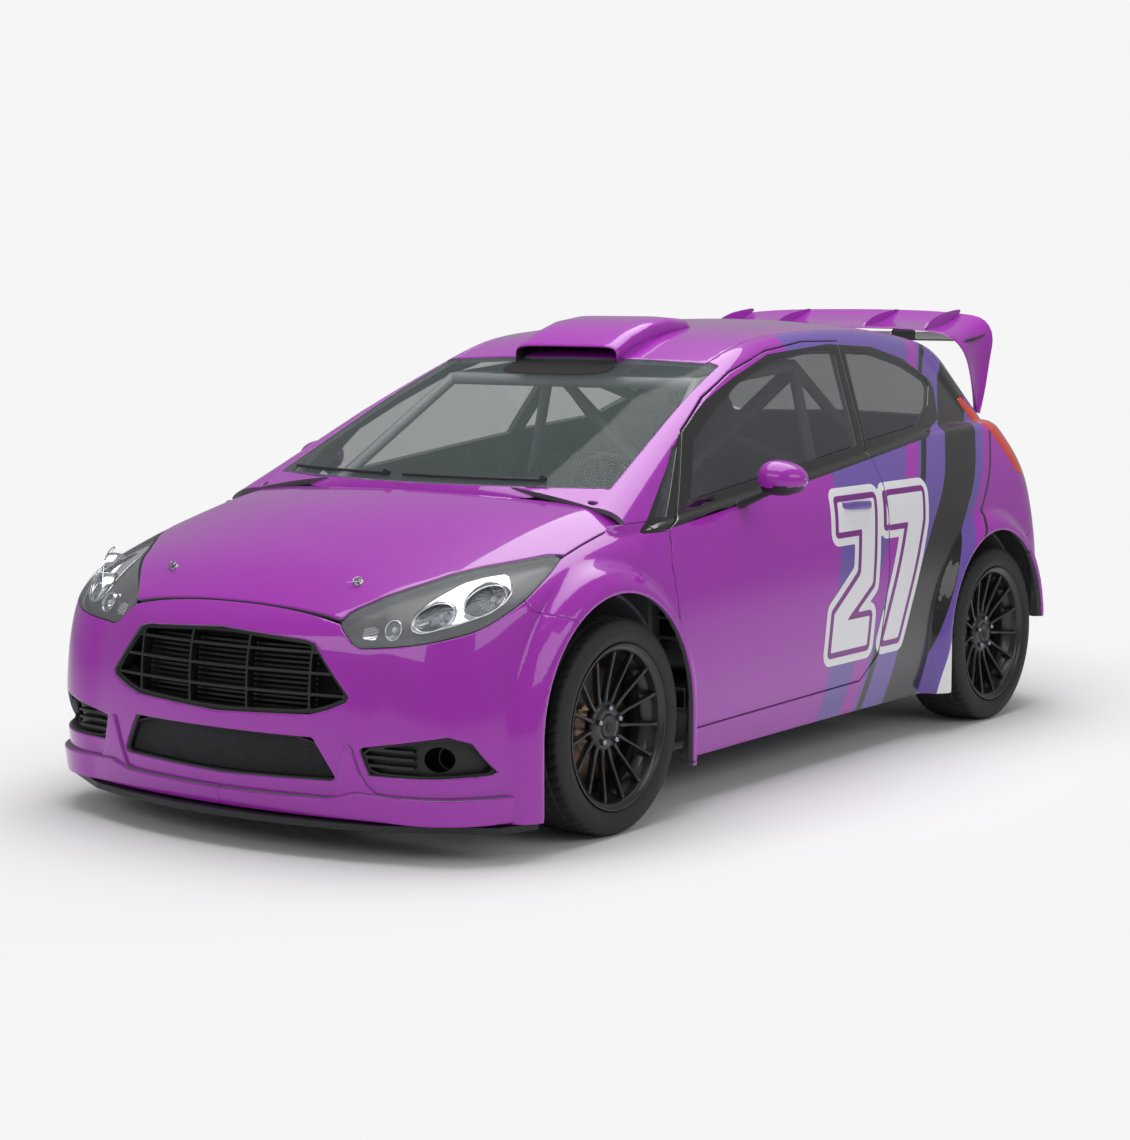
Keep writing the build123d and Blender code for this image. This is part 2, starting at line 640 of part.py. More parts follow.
# ---- Structure under the panels ------------------------------------------------------------
front_floor_y = -900.0
rear_floor_y = 868.0
rear_floor_z = 260.0
rear_floor_end_y = 1838.0
tunnel_half = 130.0
wheelhouse_wall = 12.0
front_house_x = 480.0
rear_house_x = 520.0
kingpin_low = (735.0, front_axle_y, 190.0)
kingpin_high = (590.0, front_axle_y, 830.0)
strut_bore = 60.0
leg_x = (430.0, front_house_x - wheelhouse_wall)
leg_z = (380.0, 470.0)
leg_front_y = -1850.0


def wheelhouse(arch, inner_x):
    """Left wheelhouse: a lining of one wall around the arch opening, closed on its inner side."""
    with BuildPart() as house:
        add(arch_cutter(arch, inner_x - wheelhouse_wall, 900, -wheelhouse_wall))
        add(lower_inner, mode=Mode.INTERSECT)
        add(arch_cutter(arch, inner_x, 1000), mode=Mode.SUBTRACT)
        add(block((0, far), (-far, far), (-10, floor_z)), mode=Mode.SUBTRACT)
    return house.part


def on_kingpin(z):
    """Point of the left kingpin axis at a height."""
    share = (z - kingpin_low[2]) / (kingpin_high[2] - kingpin_low[2])
    return tuple(a + (b - a) * share for a, b in zip(kingpin_low, kingpin_high))


with BuildPart() as front_house:
    add(wheelhouse(front_arch, front_house_x))
    add(bar(on_kingpin(690), on_kingpin(846), strut_bore + 8))
    add(bar(on_kingpin(560), on_kingpin(838), strut_bore), mode=Mode.SUBTRACT)
    add(arch_cutter(front_arch, front_house_x, 1000), mode=Mode.SUBTRACT)
    add(bar(on_kingpin(800), on_kingpin(870), 12 + running_clearance), mode=Mode.SUBTRACT)
    add(block((front_house_x - 30, front_house_x + 10), (front_axle_y - 170, front_axle_y + 230), (100, 372)),
        mode=Mode.SUBTRACT)
with BuildPart() as rear_house:
    add(wheelhouse(rear_arch, rear_house_x))
    add(block((rear_house_x - 20, rear_house_x + 6), (rear_axle_y - 140, rear_axle_y + 140), (floor_z, rear_floor_z)),
        mode=Mode.SUBTRACT)

door_pillar_back_y = -752.0
with BuildPart() as floor_sheets:
    add(block((-far, far), (front_floor_y, rear_floor_y + 12), (floor_z, floor_z + floor_wall)))
    add(block((-far, far), (rear_floor_y, rear_floor_end_y), (rear_floor_z, rear_floor_z + floor_wall)))
    add(block((-far, far), (rear_floor_y, rear_floor_y + 12), (floor_z, rear_floor_z + floor_wall)))
    add(block((-far, far), (front_floor_y, front_floor_y + 20), (floor_z, 860)))
    add(block((-tunnel_half, tunnel_half), (front_floor_y, rear_floor_y + 12), (floor_z, 330)))
    for s in (1, -1):
        legs = sorted((s * leg_x[0], s * leg_x[1]))
        add(block(legs, (leg_front_y, front_floor_y), leg_z))
        pillar = sorted((s * (door_pillar_x - 46), s * door_pillar_x))
        add(block(pillar, (front_floor_y, door_pillar_back_y), (floor_z, 860)))
with BuildPart() as floor_pan:
    add(floor_sheets.part)
    add(lower_inner, mode=Mode.INTERSECT)
    add(block((18 - tunnel_half, tunnel_half - 18), (-far, rear_floor_y - 1), (100, 308)), mode=Mode.SUBTRACT)
    add(block((18 - tunnel_half, tunnel_half - 18), (rear_floor_y - 2, rear_floor_y + 20), (100, rear_floor_z)),
        mode=Mode.SUBTRACT)
    for s in (1, -1):
        rear_side = sorted((s * rear_house_x, s * 1000))
        front_side = sorted((s * front_house_x, s * 1000))
        add(arch_cutter(rear_arch, *rear_side), mode=Mode.SUBTRACT)
        add(arch_cutter(front_arch, *front_side), mode=Mode.SUBTRACT)
    add([front_house.part, mirrored(front_house.part), rear_house.part, mirrored(rear_house.part)])
    fixed_leaves = [fixed for moving, fixed in door_hinge_set]
    add([*fixed_leaves, *[mirrored(leaf) for leaf in fixed_leaves]])
write("floor_pan", floor_pan.part)

with BuildPart() as engine:
    add(block((-300, 300), (-1640, -1080), (232, 760)))
    add(axle_cylinder(-1360, (leg_z[0] + leg_z[1]) / 2, 25, -leg_x[0], leg_x[0]))
write("engine", engine.part)

with BuildPart() as radiator:
    add(block((-leg_x[0], leg_x[0]), (-1800, -1762), (230, 610)))
write("radiator", radiator.part)

pipe_radius = 32.0
tail_pipe_radius = 34.0
tail_pipe_y = (1800.0, 1976.0)
with BuildPart() as exhaust:
    add(tube_frame([(0, -1080, 272), (0, -960, 272), (0, 900, 215), (0, 1500, 196), (exhaust_x, 1640, 168),
                    (exhaust_x, 1700, 168)], pipe_radius))
    add(bar((exhaust_x, 1660, 168), (exhaust_x, tail_pipe_y[0], 168), 46))
    add(bar((exhaust_x, tail_pipe_y[0], 168), (exhaust_x, tail_pipe_y[1], 168), tail_pipe_radius))
write("exhaust", exhaust.part)

# ---- Wheels ----------------------------------------------------------------------------------
RIM = [(105, 246), (99, 246), (97, 232), (70, 229), (55, 205), (-60, 205), (-75, 229), (-97, 232), (-99, 246),
       (-105, 246), (-105, 239), (-101, 225), (-78, 222), (-62, 198), (52, 198), (66, 222), (95, 225), (100, 239),
       (105, 241)]
TYRE = [(80, 232.4), (96.6, 232.4), (97, 247), (108, 256), (112.5, 275), (108, 300), (96, 317), (0, 322), (-96, 317),
        (-108, 300), (-112.5, 275), (-108, 256), (-97, 247), (-96.6, 232.4), (-80, 232.4), (-92, 252), (-98, 275),
        (-90, 302), (0, 309), (90, 302), (98, 275), (92, 252)]
hub_bore = 35.3
hub_pad = (34.0, 62.0)
disc_radius = 170.0
disc_x = (-22.0, 6.0)


def ring(profile, y, z):
    """Ring about a wheel axis from a closed (x, r) profile, for the wheel at x = wheel_centre_x."""
    with BuildPart() as turned:
        with BuildSketch(Plane.XZ.offset(-y)):
            with BuildLine():
                Polyline(*[(wheel_centre_x + x, z + r) for x, r in profile], close=True)
            make_face()
        revolve(axis=Axis((0, y, z), (1, 0, 0)), revolution_arc=360)
    return turned.part


def disc_at(y):
    """Brake disc with its hat, against the back of the rim's hub."""
    back = hub_pad[0] - running_clearance
    return ring([(back, hub_bore), (back, 74), (disc_x[1] + 4, 82), (disc_x[1], 95), (disc_x[1], disc_radius),
                 (disc_x[0], disc_radius), (disc_x[0], 88), (disc_x[1] - 8, 74), (back - 10, 66),
                 (back - 10, hub_bore)], y, tyre_radius)


def rim_at(y):
    """Rim with its spokes, hub, nut holes and a separate brake disc behind it."""
    z = tyre_radius
    with BuildPart() as wheel:
        add(disc_at(y))
        add(ring(RIM, y, z))
        add(ring([(hub_pad[0], hub_bore), (hub_pad[1], hub_bore), (hub_pad[1], nut_pitch_radius + 10),
                  (hub_pad[1] - 6, 72), (hub_pad[0], 76)], y, z))
        for k in range(spoke_count):
            turn = 360 / spoke_count * k
            radial = Plane(origin=(wheel_centre_x, y, z), x_dir=(1, 0, 0),
                           z_dir=(0, math.sin(math.radians(turn)), math.cos(math.radians(turn))))
            with BuildSketch(radial.offset(66)):
                with Locations((46, 0)):
                    Rectangle(20, 15)
            with BuildSketch(radial.offset(227)):
                with Locations((80, 0)):
                    Rectangle(22, 10)
            loft()
        with BuildSketch(Plane.YZ.offset(wheel_centre_x)):
            with Locations((y, z)):
                with PolarLocations(nut_pitch_radius, 5, start_angle=90):
                    Circle(6.5)
        extrude(amount=100, mode=Mode.SUBTRACT)
    return wheel.part


front_tyre = ring(TYRE, front_axle_y, tyre_radius)
front_rim = rim_at(front_axle_y)
for end, run_back in (("front", 0), ("rear", wheelbase)):
    tyre = front_tyre.moved(Location((0, run_back, 0)))
    rim = front_rim.moved(Location((0, run_back, 0)))
    write(f"tyre_{end}_left", tyre)
    write(f"tyre_{end}_right", mirrored(tyre))
    write(f"rim_{end}_left", rim)
    write(f"rim_{end}_right", mirrored(rim))

# ---- Suspension ---------------------------------------------------------------------------------
ball_radius = 12.0
arm_radius = 14.0
spindle_end = wheel_centre_x + 48.0


def hub_carrier(y):
    """Upright with the wheel spindle and a brake caliper around the disc's front edge."""
    z = tyre_radius
    with BuildPart() as carrier:
        add(block((700, 750), (y - 50, y + 50), (z - 92, z + 104)))
        add(axle_cylinder(y, z, hub_bore - running_clearance, 745, spindle_end))
        with BuildSketch(Plane.XZ.offset(-y)):
            with BuildLine():
                Polyline((wheel_centre_x - 44, z + 100), (wheel_centre_x + 26, z + 100),
                         (wheel_centre_x + 26, z + 188), (wheel_centre_x - 44, z + 188), close=True)
            make_face()
        revolve(axis=Axis((0, y, z), (1, 0, 0)), revolution_arc=56)
    return carrier.part


def caliper_slot(y):
    """Space of the disc inside the caliper."""
    return axle_cylinder(y, tyre_radius, disc_radius + 5, wheel_centre_x + disc_x[0] - 5,
                         wheel_centre_x + disc_x[1] + 5)


with BuildPart() as knuckle:
    add(hub_carrier(front_axle_y))
    add(caliper_slot(front_axle_y), mode=Mode.SUBTRACT)
    add(axle_cylinder(front_axle_y, tyre_radius, hub_bore - running_clearance, 745, spindle_end))
    add(ball(kingpin_low, ball_radius))
    add(bar(kingpin_low, on_kingpin(240), 8))
    add(bar((725, front_axle_y, 412), (656, front_axle_y, 440), 20))
    add(bar((656, front_axle_y, 415), (616, front_axle_y, 700), 25))
    add(bar((620, front_axle_y, 672), (611, front_axle_y, 740), 44))
    add(bar(on_kingpin(730), on_kingpin(844), ball_radius))
    add(bar((722, front_axle_y + 30, 300), (712, front_axle_y + 132, 300), 12))
write("knuckle_left", knuckle.part)
write("knuckle_right", mirrored(knuckle.part))

with BuildPart() as front_suspension:
    add(block((-340, 340), (front_axle_y - 150, front_floor_y), (floor_z, floor_z + floor_wall)))
    add(block((-300, 300), (front_axle_y + 120, front_axle_y + 160), (floor_z + 10, 228)))
    for s in (1, -1):
        low = (s * kingpin_low[0], kingpin_low[1], kingpin_low[2])
        add(ball(low, ball_radius + 10))
        for inner_y in (front_axle_y - 120, front_axle_y + 200):
            add(bar((s * 330, inner_y, 186), low, arm_radius))
    for s in (1, -1):
        low = (s * kingpin_low[0], kingpin_low[1], kingpin_low[2])
        add(ball(low, ball_radius + running_clearance), mode=Mode.SUBTRACT)
        high = on_kingpin(260)
        add(bar(low, (s * high[0], high[1], high[2]), 11), mode=Mode.SUBTRACT)
write("front_suspension", front_suspension.part)

with BuildPart() as rear_left:
    add(hub_carrier(rear_axle_y))
    add(caliper_slot(rear_axle_y), mode=Mode.SUBTRACT)
    add(axle_cylinder(rear_axle_y, tyre_radius, hub_bore - running_clearance, 745, spindle_end))
    add(bar((722, rear_axle_y, 410), (640, rear_axle_y, 410), 20))
    add(bar((640, rear_axle_y, 400), (626, rear_axle_y, 706), 24))
    add(bar((720, rear_axle_y - 20, 240), (330, rear_axle_y - 90, 232), arm_radius))
    add(bar((720, rear_axle_y + 20, 240), (330, rear_axle_y + 90, 232), arm_radius))
    add(block((300, 345), (rear_axle_y - 130, rear_axle_y + 130), (210, rear_floor_z)))
    add(floor_pan.part, mode=Mode.SUBTRACT)
with BuildPart() as rear_suspension:
    add(rear_left.part)
    add(mirrored(rear_left.part))
write("rear_suspension", rear_suspension.part)

# ---- Cabin ------------------------------------------------------------------------------------------
seat_x = 352.0
floor_top = floor_z + floor_wall
with BuildPart() as roll_cage:
    for s in (1, -1):
        add(tube_frame([(s * 610, 440, floor_top), (s * 610, 440, 900), (s * 515, 430, 1330),
                        (s * 505, -180, 1282), (s * 640, -730, 900), (s * 650, -760, floor_top)], tube_radius))
        add(bar((s * 515, 430, 1330), (s * 590, 1280, 728), tube_radius))
        add(bar((s * 600, 440, 330), (-s * 518, 432, 1310), tube_radius))
        add(bar((s * 505, -180, 1282), (-s * 515, 430, 1330), tube_radius))
        add(bar((s * 515, 430, 1325), (-s * 586, 1250, 758), tube_radius))
        add(bar((s * 640, -730, 890), (s * 610, 440, 420), tube_radius))
        add(ball((s * 515, 430, 1330), tube_radius))
        add(ball((s * 505, -180, 1282), tube_radius))
    add(bar((-515, 430, 1330), (515, 430, 1330), tube_radius))
    add(bar((-505, -180, 1282), (505, -180, 1282), tube_radius))
    add(floor_pan.part, mode=Mode.SUBTRACT)
write("roll_cage", roll_cage.part)

SEAT_SIDE = [(-260, 300), (-240, 330), (40, 290), (120, 340), (210, 640), (260, 960), (300, 1010), (335, 1000),
             (300, 700), (230, 380), (180, 250), (-220, 262)]
SEAT_WING = [(-260, 300), (-180, 400), (60, 420), (100, 560), (170, 780), (215, 960), (300, 1010), (335, 1000),
             (300, 700), (230, 380), (180, 250), (-220, 262)]


def seat(centre_x):
    """Bucket seat: a moulded shell with raised sides, on two floor rails."""
    with BuildPart() as bucket:
        add(side_prism(SEAT_SIDE, centre_x - 215, centre_x + 215))
        for s in (1, -1):
            wing = sorted((centre_x + s * 180, centre_x + s * 222))
            add(side_prism(SEAT_WING, *wing))
            rail = sorted((centre_x + s * 150, centre_x + s * 175))
            add(block(rail, (-200, 170), (floor_top, 262)))
    return bucket.part


with BuildPart() as seats:
    add(seat(seat_x))
    add(seat(-seat_x))
write("seats", seats.part)

column_start = (seat_x, -640.0, 812.0)
column_end = (seat_x, -410.0, 900.0)
column_axis = (Vector(*column_end) - Vector(*column_start)).normalized()
with BuildPart() as dashboard:
    add(side_prism([(-880, 640), (-880, 858), (-700, 868), (-600, 850), (-560, 800), (-575, 700), (-640, 640)],
                   46 - door_pillar_x, door_pillar_x - 46))
    add(block((-80, 80), (-700, -560), (330, 660)))
    add(bar(column_start, tuple(Vector(*column_start) + column_axis * 130), 28))
    add(bar(column_start, column_end, 11 + running_clearance), mode=Mode.SUBTRACT)
    for s in (1, -1):
        add(tube_frame([(s * 640, -730, 900), (s * 650, -760, floor_top)], tube_radius + 1), mode=Mode.SUBTRACT)
        add(bar((s * 640, -730, 890), (s * 610, 440, 420), tube_radius + 1), mode=Mode.SUBTRACT)
        add(bar((s * 505, -180, 1282), (s * 640, -730, 900), tube_radius + 1), mode=Mode.SUBTRACT)
write("dashboard", dashboard.part)

steering_wheel_radius = 165.0
wheel_plane = Plane(origin=column_end, z_dir=column_axis, x_dir=(1, 0, 0))
with BuildPart() as steering_wheel:
    with BuildSketch(Plane(origin=column_end, x_dir=(1, 0, 0), z_dir=wheel_plane.y_dir)):
        with Locations((steering_wheel_radius, 0)):
            Circle(14)
    revolve(axis=Axis(column_end, tuple(column_axis)), revolution_arc=360)
    with BuildSketch(wheel_plane.offset(-6)):
        Circle(46)
        with PolarLocations(0, 3, start_angle=90):
            with Locations((steering_wheel_radius / 2, 0)):
                Rectangle(steering_wheel_radius - 4, 30)
    extrude(amount=10)
    add(bar(tuple(Vector(*column_end) - column_axis * 200), tuple(Vector(*column_end) + column_axis * 2), 11))
write("steering_wheel", steering_wheel.part)

# ---- Grilles --------------------------------------------------------------------------------------------
trim_depth = (14.0, 40.0)
grille_rim = 13.0
trim_forms = [plan_loft(LOWER_BODY, inset) for inset in trim_depth]


def grille(outline, bar_width, columns, rows):
    """Curved grille panel filling one opening of the bumper: a rim with crossing bars."""
    width = max(x for x, z in outline) - min(x for x, z in outline)
    low, high = min(z for x, z in outline), max(z for x, z in outline)
    centre = ((max(x for x, z in outline) + min(x for x, z in outline)) / 2, (low + high) / 2)
    with BuildSketch(Plane.XZ.offset(-nose_openings_y)) as windows:
        with BuildLine():
            Polyline(*outline, close=True)
        make_face()
        offset(amount=-grille_rim, kind=Kind.INTERSECTION)
        with Locations(centre):
            if columns:
                with GridLocations(width / (columns + 1), 0, columns, 1):
                    Rectangle(bar_width, 2 * (high - low), mode=Mode.SUBTRACT)
            with GridLocations(0, (high - low) / (rows + 1), 1, rows):
                Rectangle(2 * width, bar_width, mode=Mode.SUBTRACT)
    with BuildPart() as panel:
        with BuildSketch(Plane.XZ.offset(-nose_openings_y)):
            with BuildLine():
                Polyline(*outline, close=True)
            make_face()
            add(windows.sketch, mode=Mode.SUBTRACT)
        extrude(amount=500)
        add(trim_forms[0], mode=Mode.INTERSECT)
        add(trim_forms[1], mode=Mode.SUBTRACT)
    return panel.part


with BuildPart() as grilles:
    fog_panel = grille(FOG_BAY, 12, 0, 2)
    add(grille(both_halves(GRILLE_HALF), 14, 3, 2))
    add(grille(both_halves(INTAKE_HALF), 10, 5, 1))
    add([fog_panel, mirrored(fog_panel)])
write("grilles", grilles.part)

splitter_wall = 18.0
with BuildPart() as splitter:
    with BuildSketch(Plane.XY.offset(tub_bottom_z - splitter_wall)):
        with BuildLine():
            Polyline((551, -1893), (846, -1722), (890, -1606), (-890, -1606), (-846, -1722), (-551, -1893))
            ThreePointArc((-551, -1893), (0, -1976), (551, -1893))
        make_face()
    extrude(amount=splitter_wall)
write("splitter", splitter.part)

# ---- Roof scoop and rear wing -----------------------------------------------------------------------------
SCOOP_TOP = [(-208, 1404), (-120, 1450), (40, 1492), (180, 1500), (300, 1488)]
SCOOP_DUCT = [(-240, 1392), (-120, 1438), (20, 1478), (20, 1300), (-240, 1300)]
scoop_half = 212.0
with BuildPart() as roof_scoop:
    add(side_prism([*SCOOP_TOP, (312, 1380), (-190, 1320)], -scoop_half, scoop_half))
    add(side_prism(SCOOP_DUCT, 14 - scoop_half, scoop_half - 14), mode=Mode.SUBTRACT)
    add(cabin_outer, mode=Mode.SUBTRACT)
write("roof_scoop", roof_scoop.part)

wing_half = 600.0
wing_plate = 10.0
WING_PLANE = [(1500, 1436), (1560, 1458), (1690, 1486), (1812, 1490), (1818, 1480), (1690, 1470), (1570, 1440),
              (1504, 1424)]
WING_FLAP = [(1600, 1404), (1700, 1426), (1790, 1432), (1806, 1424), (1700, 1410), (1606, 1390)]
WING_END = [(1497, 1412), (1560, 1462), (1690, 1490), (1813, 1494), (1822, 1440), (1770, 1250), (1738, 1110),
            (1700, 1150), (1640, 1290), (1560, 1380)]
with BuildPart() as wing_stays:
    for s in (1, -1):
        add(side_prism([(1440, 1330), (1500, 1436), (1640, 1476), (1700, 1410), (1620, 1330)],
                       *sorted((s * 330, s * (330 + wing_plate)))))
    add(cabin_outer, mode=Mode.SUBTRACT)
with BuildPart() as rear_wing:
    add(side_prism(WING_PLANE, -wing_half, wing_half))
    add(side_prism(WING_FLAP, -wing_half, wing_half))
    for s in (1, -1):
        add(side_prism(WING_END, *sorted((s * wing_half, s * (wing_half + wing_plate)))))
        add(side_prism([(1520, 1442), (1690, 1482), (1800, 1486), (1808, 1506), (1690, 1508), (1560, 1478)],
                       *sorted((s * 200, s * (200 + wing_plate)))))
    add(wing_stays.part)
write("rear_wing", rear_wing.part)

# ---- Mirrors and wipers --------------------------------------------------------------------------------------
MIRROR = [(872, 40, 34), (900, 62, 52), (950, 74, 60), (1000, 62, 54), (1026, 30, 30)]
mirror_centre = (-372.0, 1000.0)
with BuildPart() as mirror_stalk:
    add(bar((900, mirror_centre[0] - 6, 962), (770, mirror_centre[0] - 40, 900), 17))
    add(lower_outer, mode=Mode.SUBTRACT)
with BuildPart() as mirror_left:
    for x, half_y, half_z in MIRROR:
        with BuildSketch(Plane.YZ.offset(x)):
            with Locations(mirror_centre):
                Ellipse(half_y, half_z)
    loft()
    add(mirror_stalk.part)
write("mirror_left", mirror_left.part)
write("mirror_right", mirrored(mirror_left.part))

WIPERS = [(440, -60), (-130, -600)]     # x at the spindle end and at the tip of each parked wiper
wiper_z = 1012.0
wiper_steps = 4
wiper_radius = 6.0


def screen_point(x, z, proud):
    """Point at a height in front of the windscreen, which is part of a circle at each height."""
    low, high = GREENHOUSE[0], GREENHOUSE[1]
    share = (z - low[0]) / (high[0] - low[0])
    nose_y, nose_half, nose_end = [a + (b - a) * share for a, b in zip(low[1:4], high[1:4])]
    depth = nose_end - nose_y
    radius = (nose_half ** 2 + depth ** 2) / (2 * depth)
    return (x, nose_y + radius - math.sqrt(radius ** 2 - x ** 2) + glass_inset - proud, z)


with BuildPart() as wipers:
    for root_x, tip_x in WIPERS:
        run = (tip_x - root_x) / wiper_steps
        add(tube_frame([screen_point(root_x + run * k, wiper_z, 2) for k in range(wiper_steps + 1)], wiper_radius))
        add(bar(screen_point(root_x, wiper_z, -4), screen_point(root_x, wiper_z + 3, 16), 2 * wiper_radius))
    add(glass_form[0].moved(Location((0, -running_clearance, 0))), mode=Mode.SUBTRACT)
write("wipers", wipers.part)
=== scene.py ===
# %% [markdown]
# # A small rally hatchback
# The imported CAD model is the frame: its bodies move, and every piece made here rides on one of them.
# All lengths are metres, +Z is up, the nose points along -Y and +X is the car's left side.
# %% Load the frame
import math

import bpy
import numpy as np
from mathutils import Matrix, Vector


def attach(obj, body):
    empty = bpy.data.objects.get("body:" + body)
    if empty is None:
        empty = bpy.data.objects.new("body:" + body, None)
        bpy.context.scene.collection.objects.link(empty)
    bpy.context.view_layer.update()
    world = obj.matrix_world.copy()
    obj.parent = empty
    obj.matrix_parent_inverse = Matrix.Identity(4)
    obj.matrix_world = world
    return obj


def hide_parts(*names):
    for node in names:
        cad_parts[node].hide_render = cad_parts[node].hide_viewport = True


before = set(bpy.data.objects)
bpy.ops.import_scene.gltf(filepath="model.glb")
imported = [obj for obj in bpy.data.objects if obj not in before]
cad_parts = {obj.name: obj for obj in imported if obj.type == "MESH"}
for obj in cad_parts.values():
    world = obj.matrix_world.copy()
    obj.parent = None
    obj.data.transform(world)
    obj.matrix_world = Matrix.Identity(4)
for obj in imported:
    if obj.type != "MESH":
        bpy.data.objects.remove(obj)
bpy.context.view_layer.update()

MM = 0.001

# %% [markdown]
# ## Materials
# A real finish is a few layers: a base, small irregularities in gloss, and a fine relief. Each material below
# names what it stands for and gets these layers from procedural nodes, scaled in real millimetres, the relief only
# where one is given.
# %% Material tools


def linear(hex_colour):
    """Scene-linear RGBA of an sRGB colour written as six hex digits."""
    value = np.array([int(hex_colour[i:i + 2], 16) / 255 for i in (0, 2, 4)])
    low, high = value / 12.92, ((value + 0.055) / 1.055) ** 2.4
    return (*np.where(value <= 0.04045, low, high).tolist(), 1.0)


def node(tree, kind, links=(), **values):
    """Add a shader node: values set its attributes or sockets, links joins sockets to outputs of other nodes."""
    made = tree.nodes.new(kind)
    for key, value in values.items():
        if hasattr(made, key):
            setattr(made, key, value)
        else:
            made.inputs[key.replace("_", " ")].default_value = value
    for socket, source in links:
        tree.links.new(source, made.inputs[socket])
    return made


def material(name, colour, roughness, spread=0.05, metallic=0.0, grain_mm=2.0, relief_mm=0.0, **sockets):
    """Principled material with a noise of grain_mm in its colour and roughness, and a relief of relief_mm."""
    made = bpy.data.materials.new(name)
    made.use_nodes = True
    tree = made.node_tree
    shader = tree.nodes["Principled BSDF"]
    shader.inputs["Metallic"].default_value = metallic
    for key, value in sockets.items():
        shader.inputs[key.replace("_", " ")].default_value = value
    place = node(tree, "ShaderNodeTexCoord")
    noise = node(tree, "ShaderNodeTexNoise", [("Vector", place.outputs["Object"])],
                 Scale=1 / (grain_mm * MM), Detail=4.0, Roughness=0.6)
    tint = node(tree, "ShaderNodeMix", [("Factor", noise.outputs["Fac"])], data_type="RGBA")
    base = np.array(linear(colour))
    tint.inputs[6].default_value = (*np.clip(base[:3] * (1 - spread), 0, 1), 1)
    tint.inputs[7].default_value = (*np.clip(base[:3] * (1 + spread), 0, 1), 1)
    rough = node(tree, "ShaderNodeMapRange", [("Value", noise.outputs["Fac"])],
                 To_Min=max(roughness - 0.05, 0.0), To_Max=min(roughness + 0.05, 1.0))
    tree.links.new(tint.outputs[2], shader.inputs["Base Color"])
    tree.links.new(rough.outputs["Result"], shader.inputs["Roughness"])
    if relief_mm:
        bump = node(tree, "ShaderNodeBump", [("Height", noise.outputs["Fac"])], Distance=relief_mm * MM, Strength=0.6)
        tree.links.new(bump.outputs["Normal"], shader.inputs["Normal"])
    return made


# %% Plain materials
# Moulded black polypropylene: bumper grilles, fog bays, splitter, wipers.
black_plastic = material("Polypropylene, injection moulded, fine grain", "17171a", 0.48, 0.12, grain_mm=0.8,
                         relief_mm=0.04)
# Gloss black acrylic: window surrounds and the wing's underside.
gloss_black = material("Acrylic, gloss black, moulded", "0b0b0d", 0.12, 0.1, grain_mm=8, Coat_Weight=0.6)
# Carbon black painted steel: sills inside, floor, engine bay.
floor_steel = material("Steel sheet, pressed, grey primer", "6a6c70", 0.45, 0.08, grain_mm=12, relief_mm=0.05)
# Cage steel, powder coated pale grey.
cage_paint = material("Steel tube, powder coated grey", "8b8d92", 0.38, 0.05, grain_mm=1.5, relief_mm=0.02)
# Cast aluminium for the engine block.
cast_alloy = material("Aluminium, sand cast", "8d8f92", 0.42, 0.15, 1.0, grain_mm=3, relief_mm=0.1)
# Exhaust: drawn stainless steel, slightly browned.
stainless = material("Stainless steel, drawn tube", "9a948c", 0.3, 0.2, 1.0, grain_mm=20)
# Suspension arms: forged steel, black e-coat.
forged = material("Steel, forged, black e-coat", "26272a", 0.4, 0.15, grain_mm=4, relief_mm=0.04)
# Tyre rubber, vulcanised.
rubber = material("Rubber, vulcanised, carbon filled", "1c1c1e", 0.62, 0.12, grain_mm=1.2, relief_mm=0.05)
# Wheel: cast alloy, satin black powder coat.
wheel_black = material("Aluminium wheel, satin black powder coat", "1b1b1e", 0.3, 0.1, grain_mm=1.0, relief_mm=0.015,
                       Coat_Weight=0.25)
# Brake disc: grey cast iron, warm with use.
disc_iron = material("Cast iron, turned, heat browned", "7d6a5c", 0.38, 0.25, 1.0, grain_mm=5)
# Wheel nuts and bolts: zinc-plated steel.
zinc = material("Steel, zinc plated", "a9abb0", 0.28, 0.12, 1.0, grain_mm=2)
# Chrome for the reflectors.
chrome = material("Aluminium, vacuum metallised on plastic", "e4e6ea", 0.08, 0.03, 1.0, grain_mm=10)
# Seat cloth, woven polyester.
seat_cloth = material("Polyester cloth, woven black", "1d1e22", 0.85, 0.2, grain_mm=1.5, relief_mm=0.3)
# Suede steering wheel.
suede = material("Suede leather, brushed", "202024", 0.9, 0.2, grain_mm=1.0, relief_mm=0.1)
# Dashboard, flocked.
flock = material("Polyester flock on moulded shell", "18181b", 0.95, 0.2, grain_mm=0.9, relief_mm=0.1)
# Anodised orange-red acrylic of the tail lamps.
tail_red = material("Acrylic, moulded, orange red", "d8321c", 0.12, 0.08, grain_mm=14, Coat_Weight=0.5)


def glass(name, colour, opacity):
    """Thin clear sheet: mostly see-through, with a tint and clean reflections."""
    made = bpy.data.materials.new(name)
    made.use_nodes = True
    tree = made.node_tree
    shader = tree.nodes["Principled BSDF"]
    shader.inputs["Base Color"].default_value = linear(colour)
    shader.inputs["IOR"].default_value = 1.5
    place = node(tree, "ShaderNodeTexCoord")
    haze = node(tree, "ShaderNodeTexNoise", [("Vector", place.outputs["Object"])], Scale=6.0, Detail=3.0)
    rough = node(tree, "ShaderNodeMapRange", [("Value", haze.outputs["Fac"])], To_Min=0.01, To_Max=0.05)
    alpha = node(tree, "ShaderNodeMapRange", [("Value", haze.outputs["Fac"])], To_Min=opacity - 0.02,
                 To_Max=opacity + 0.02)
    tree.links.new(rough.outputs["Result"], shader.inputs["Roughness"])
    tree.links.new(alpha.outputs["Result"], shader.inputs["Alpha"])
    return made


# Laminated windscreen glass, faint green.
clear_glass = glass("Glass, laminated, faint green", "7f8c8c", 0.14)
# Side windows: tinted polycarbonate sheet.
tinted_sheet = glass("Polycarbonate sheet, smoke tinted", "54565c", 0.42)
